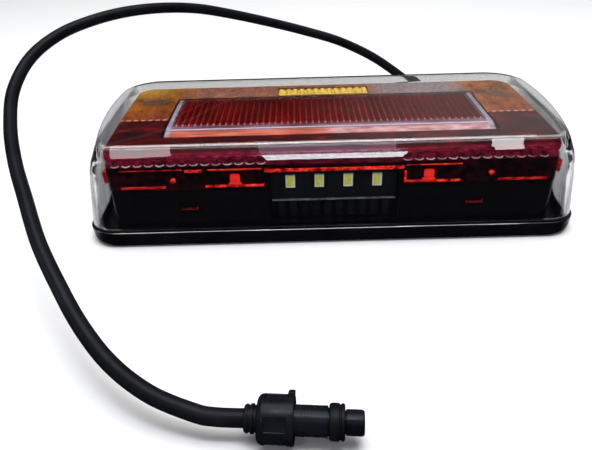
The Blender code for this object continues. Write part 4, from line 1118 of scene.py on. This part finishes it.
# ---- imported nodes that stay


def dress_packed_nodes():
    """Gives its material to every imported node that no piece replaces."""
    dressed = {"breather_vent": BLACK_MATT}
    dressed |= dict.fromkeys(("main_circuit_board", "plate_circuit_board"), BOARD)
    dressed |= dict.fromkeys(("driver_chip", "smoothing_capacitor", "input_diode"), COMPONENT)
    dressed |= dict.fromkeys(("resistor_1", "resistor_2"), COMPONENT)
    dressed |= dict.fromkeys(("mounting_insert_left", "mounting_insert_right"), BRASS)
    for index in range(1, 5):
        dressed[f"tail_led_{index}"] = RED_LED
        dressed[f"turn_led_{index}"] = AMBER_LED
        dressed[f"board_screw_{index}"] = STEEL
    for index in range(1, 6):
        dressed[f"contact_pin_{index}"] = BRASS
    for colour, value in CORES.items():
        light = tuple(min(1, 1.15 * part) for part in value)
        dressed[f"core_wire_{colour}"] = moulded(f"core_{colour}", value, light, 0.3, 0.45, 0.8, 0.02)
    for name, material in dressed.items():
        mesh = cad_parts[name].data
        mesh.materials.clear()
        mesh.materials.append(material)


# ---- studio


def floor():
    """A plain pale floor. In the gloss it shows beside the lamp only, and is dark elsewhere."""
    shape = bmesh.new()
    bmesh.ops.create_grid(shape, x_segments=1, y_segments=1, size=3)
    pale = Material("floor", (0.9, 0.9, 0.9), 0.9, Specular_IOR_Level=0)
    path = pale.node("LightPath")
    mirrored = pale.maths("MINIMUM", path.outputs["Glossy Depth"], 1)
    across = pale.window(pale.size(pale.axis("X")), 124, 190, 12)
    beside = pale.times(across, pale.window(pale.axis("Y"), -38, 130, 14))
    share = pale.times(mirrored, pale.maths("SUBTRACT", 1, beside))
    dim = pale.node("BsdfDiffuse", {"Color": (0.012, 0.012, 0.014, 1)})
    pale.show(share, dim)
    made = from_bmesh("floor", shape, pale.made)
    made.location.z = -0.0002


def softbox(name, place_at, aim, size, radiance, colour=(1, 1, 1)):
    """A rectangular light whose surface has that radiance."""
    data = bpy.data.lights.new(name, "AREA")
    data.shape = "RECTANGLE"
    data.size, data.size_y = size
    data.energy = radiance * math.pi * size[0] * size[1]
    data.color = colour
    made = placed(name, data)
    place_at, aim = Vector(place_at), Vector(aim)
    turn = (aim - place_at).to_track_quat("-Z", "Y").to_matrix().to_4x4()
    made.matrix_world = Matrix.Translation(place_at) @ turn


def studio():
    """A dark room, a large light overhead, small ones in front and a soft glow behind on the right."""
    world = bpy.data.worlds.new("studio")
    bpy.context.scene.world = world
    world.use_nodes = True
    tree = world.node_tree
    direction = add_node(tree, "TexCoord").outputs["Generated"]
    height = add_node(tree, "SeparateXYZ", {0: direction}).outputs["Z"]
    sky = add_ramp(tree, height, ((0, 0.008), (0.5, 0.008), (0.75, 0.09), (1, 0.8)))
    glow_at = Vector((0.46, 0.76, 0.46)).normalized()
    inputs = {0: direction, 1: glow_at}
    towards = add_node(tree, "VectorMath", inputs, operation="DOT_PRODUCT").outputs["Value"]
    inputs = {"Value": towards, "From Min": 0.86, "From Max": 0.99, "To Min": 0, "To Max": 0.18}
    glow = add_node(tree, "MapRange", inputs, interpolation_type="SMOOTHSTEP").outputs["Result"]
    total = add_node(tree, "VectorMath", {0: sky, 1: glow}, operation="ADD").outputs[0]
    background = tree.nodes["Background"]
    feed(tree, background.inputs["Color"], total)
    feed(tree, background.inputs["Strength"], 1)

    # name, place, aim, size and radiance in metres, and colour
    softbox("overhead", (0, 0.05, 1.2), (0, 0, 0), (1.2, 1), 4)
    softbox("window_front", (0.07, -0.235, 1.19), (0.07, -0.05, 0.04), (0.46, 0.17), 15, (0.86, 0.9, 1))
    softbox("window_middle", (0.06, -0.95, 0.905), (0.06, -0.05, 0.045), (0.4, 0.16), 2.2, (0.8, 0.72, 1))
    softbox("window_left", (-0.495, -0.91, 0.865), (-0.495, -0.05, 0.045), (0.22, 0.16), 7.5)
    softbox("window_right", (0.557, -0.89, 0.85), (0.557, -0.05, 0.045), (0.09, 0.16), 14)
    softbox("left_side", (-1, -0.1, 0.35), (0, 0, 0.03), (0.3, 0.6), 1.2)
    bpy.context.scene.view_settings.view_transform = "Standard"


# ---- assembly

camera()
flexible = lead()
plug_pieces = plug()
ring_piece = ring()
housing()
seal()
cover()
bezel()
red_lens()
red_guides()
flute_glint_rims()
amber_lens()
turn_bar()
reflector()
reflector_frame()
plate_lights()
outlet()
dress_packed_nodes()
floor()
studio()
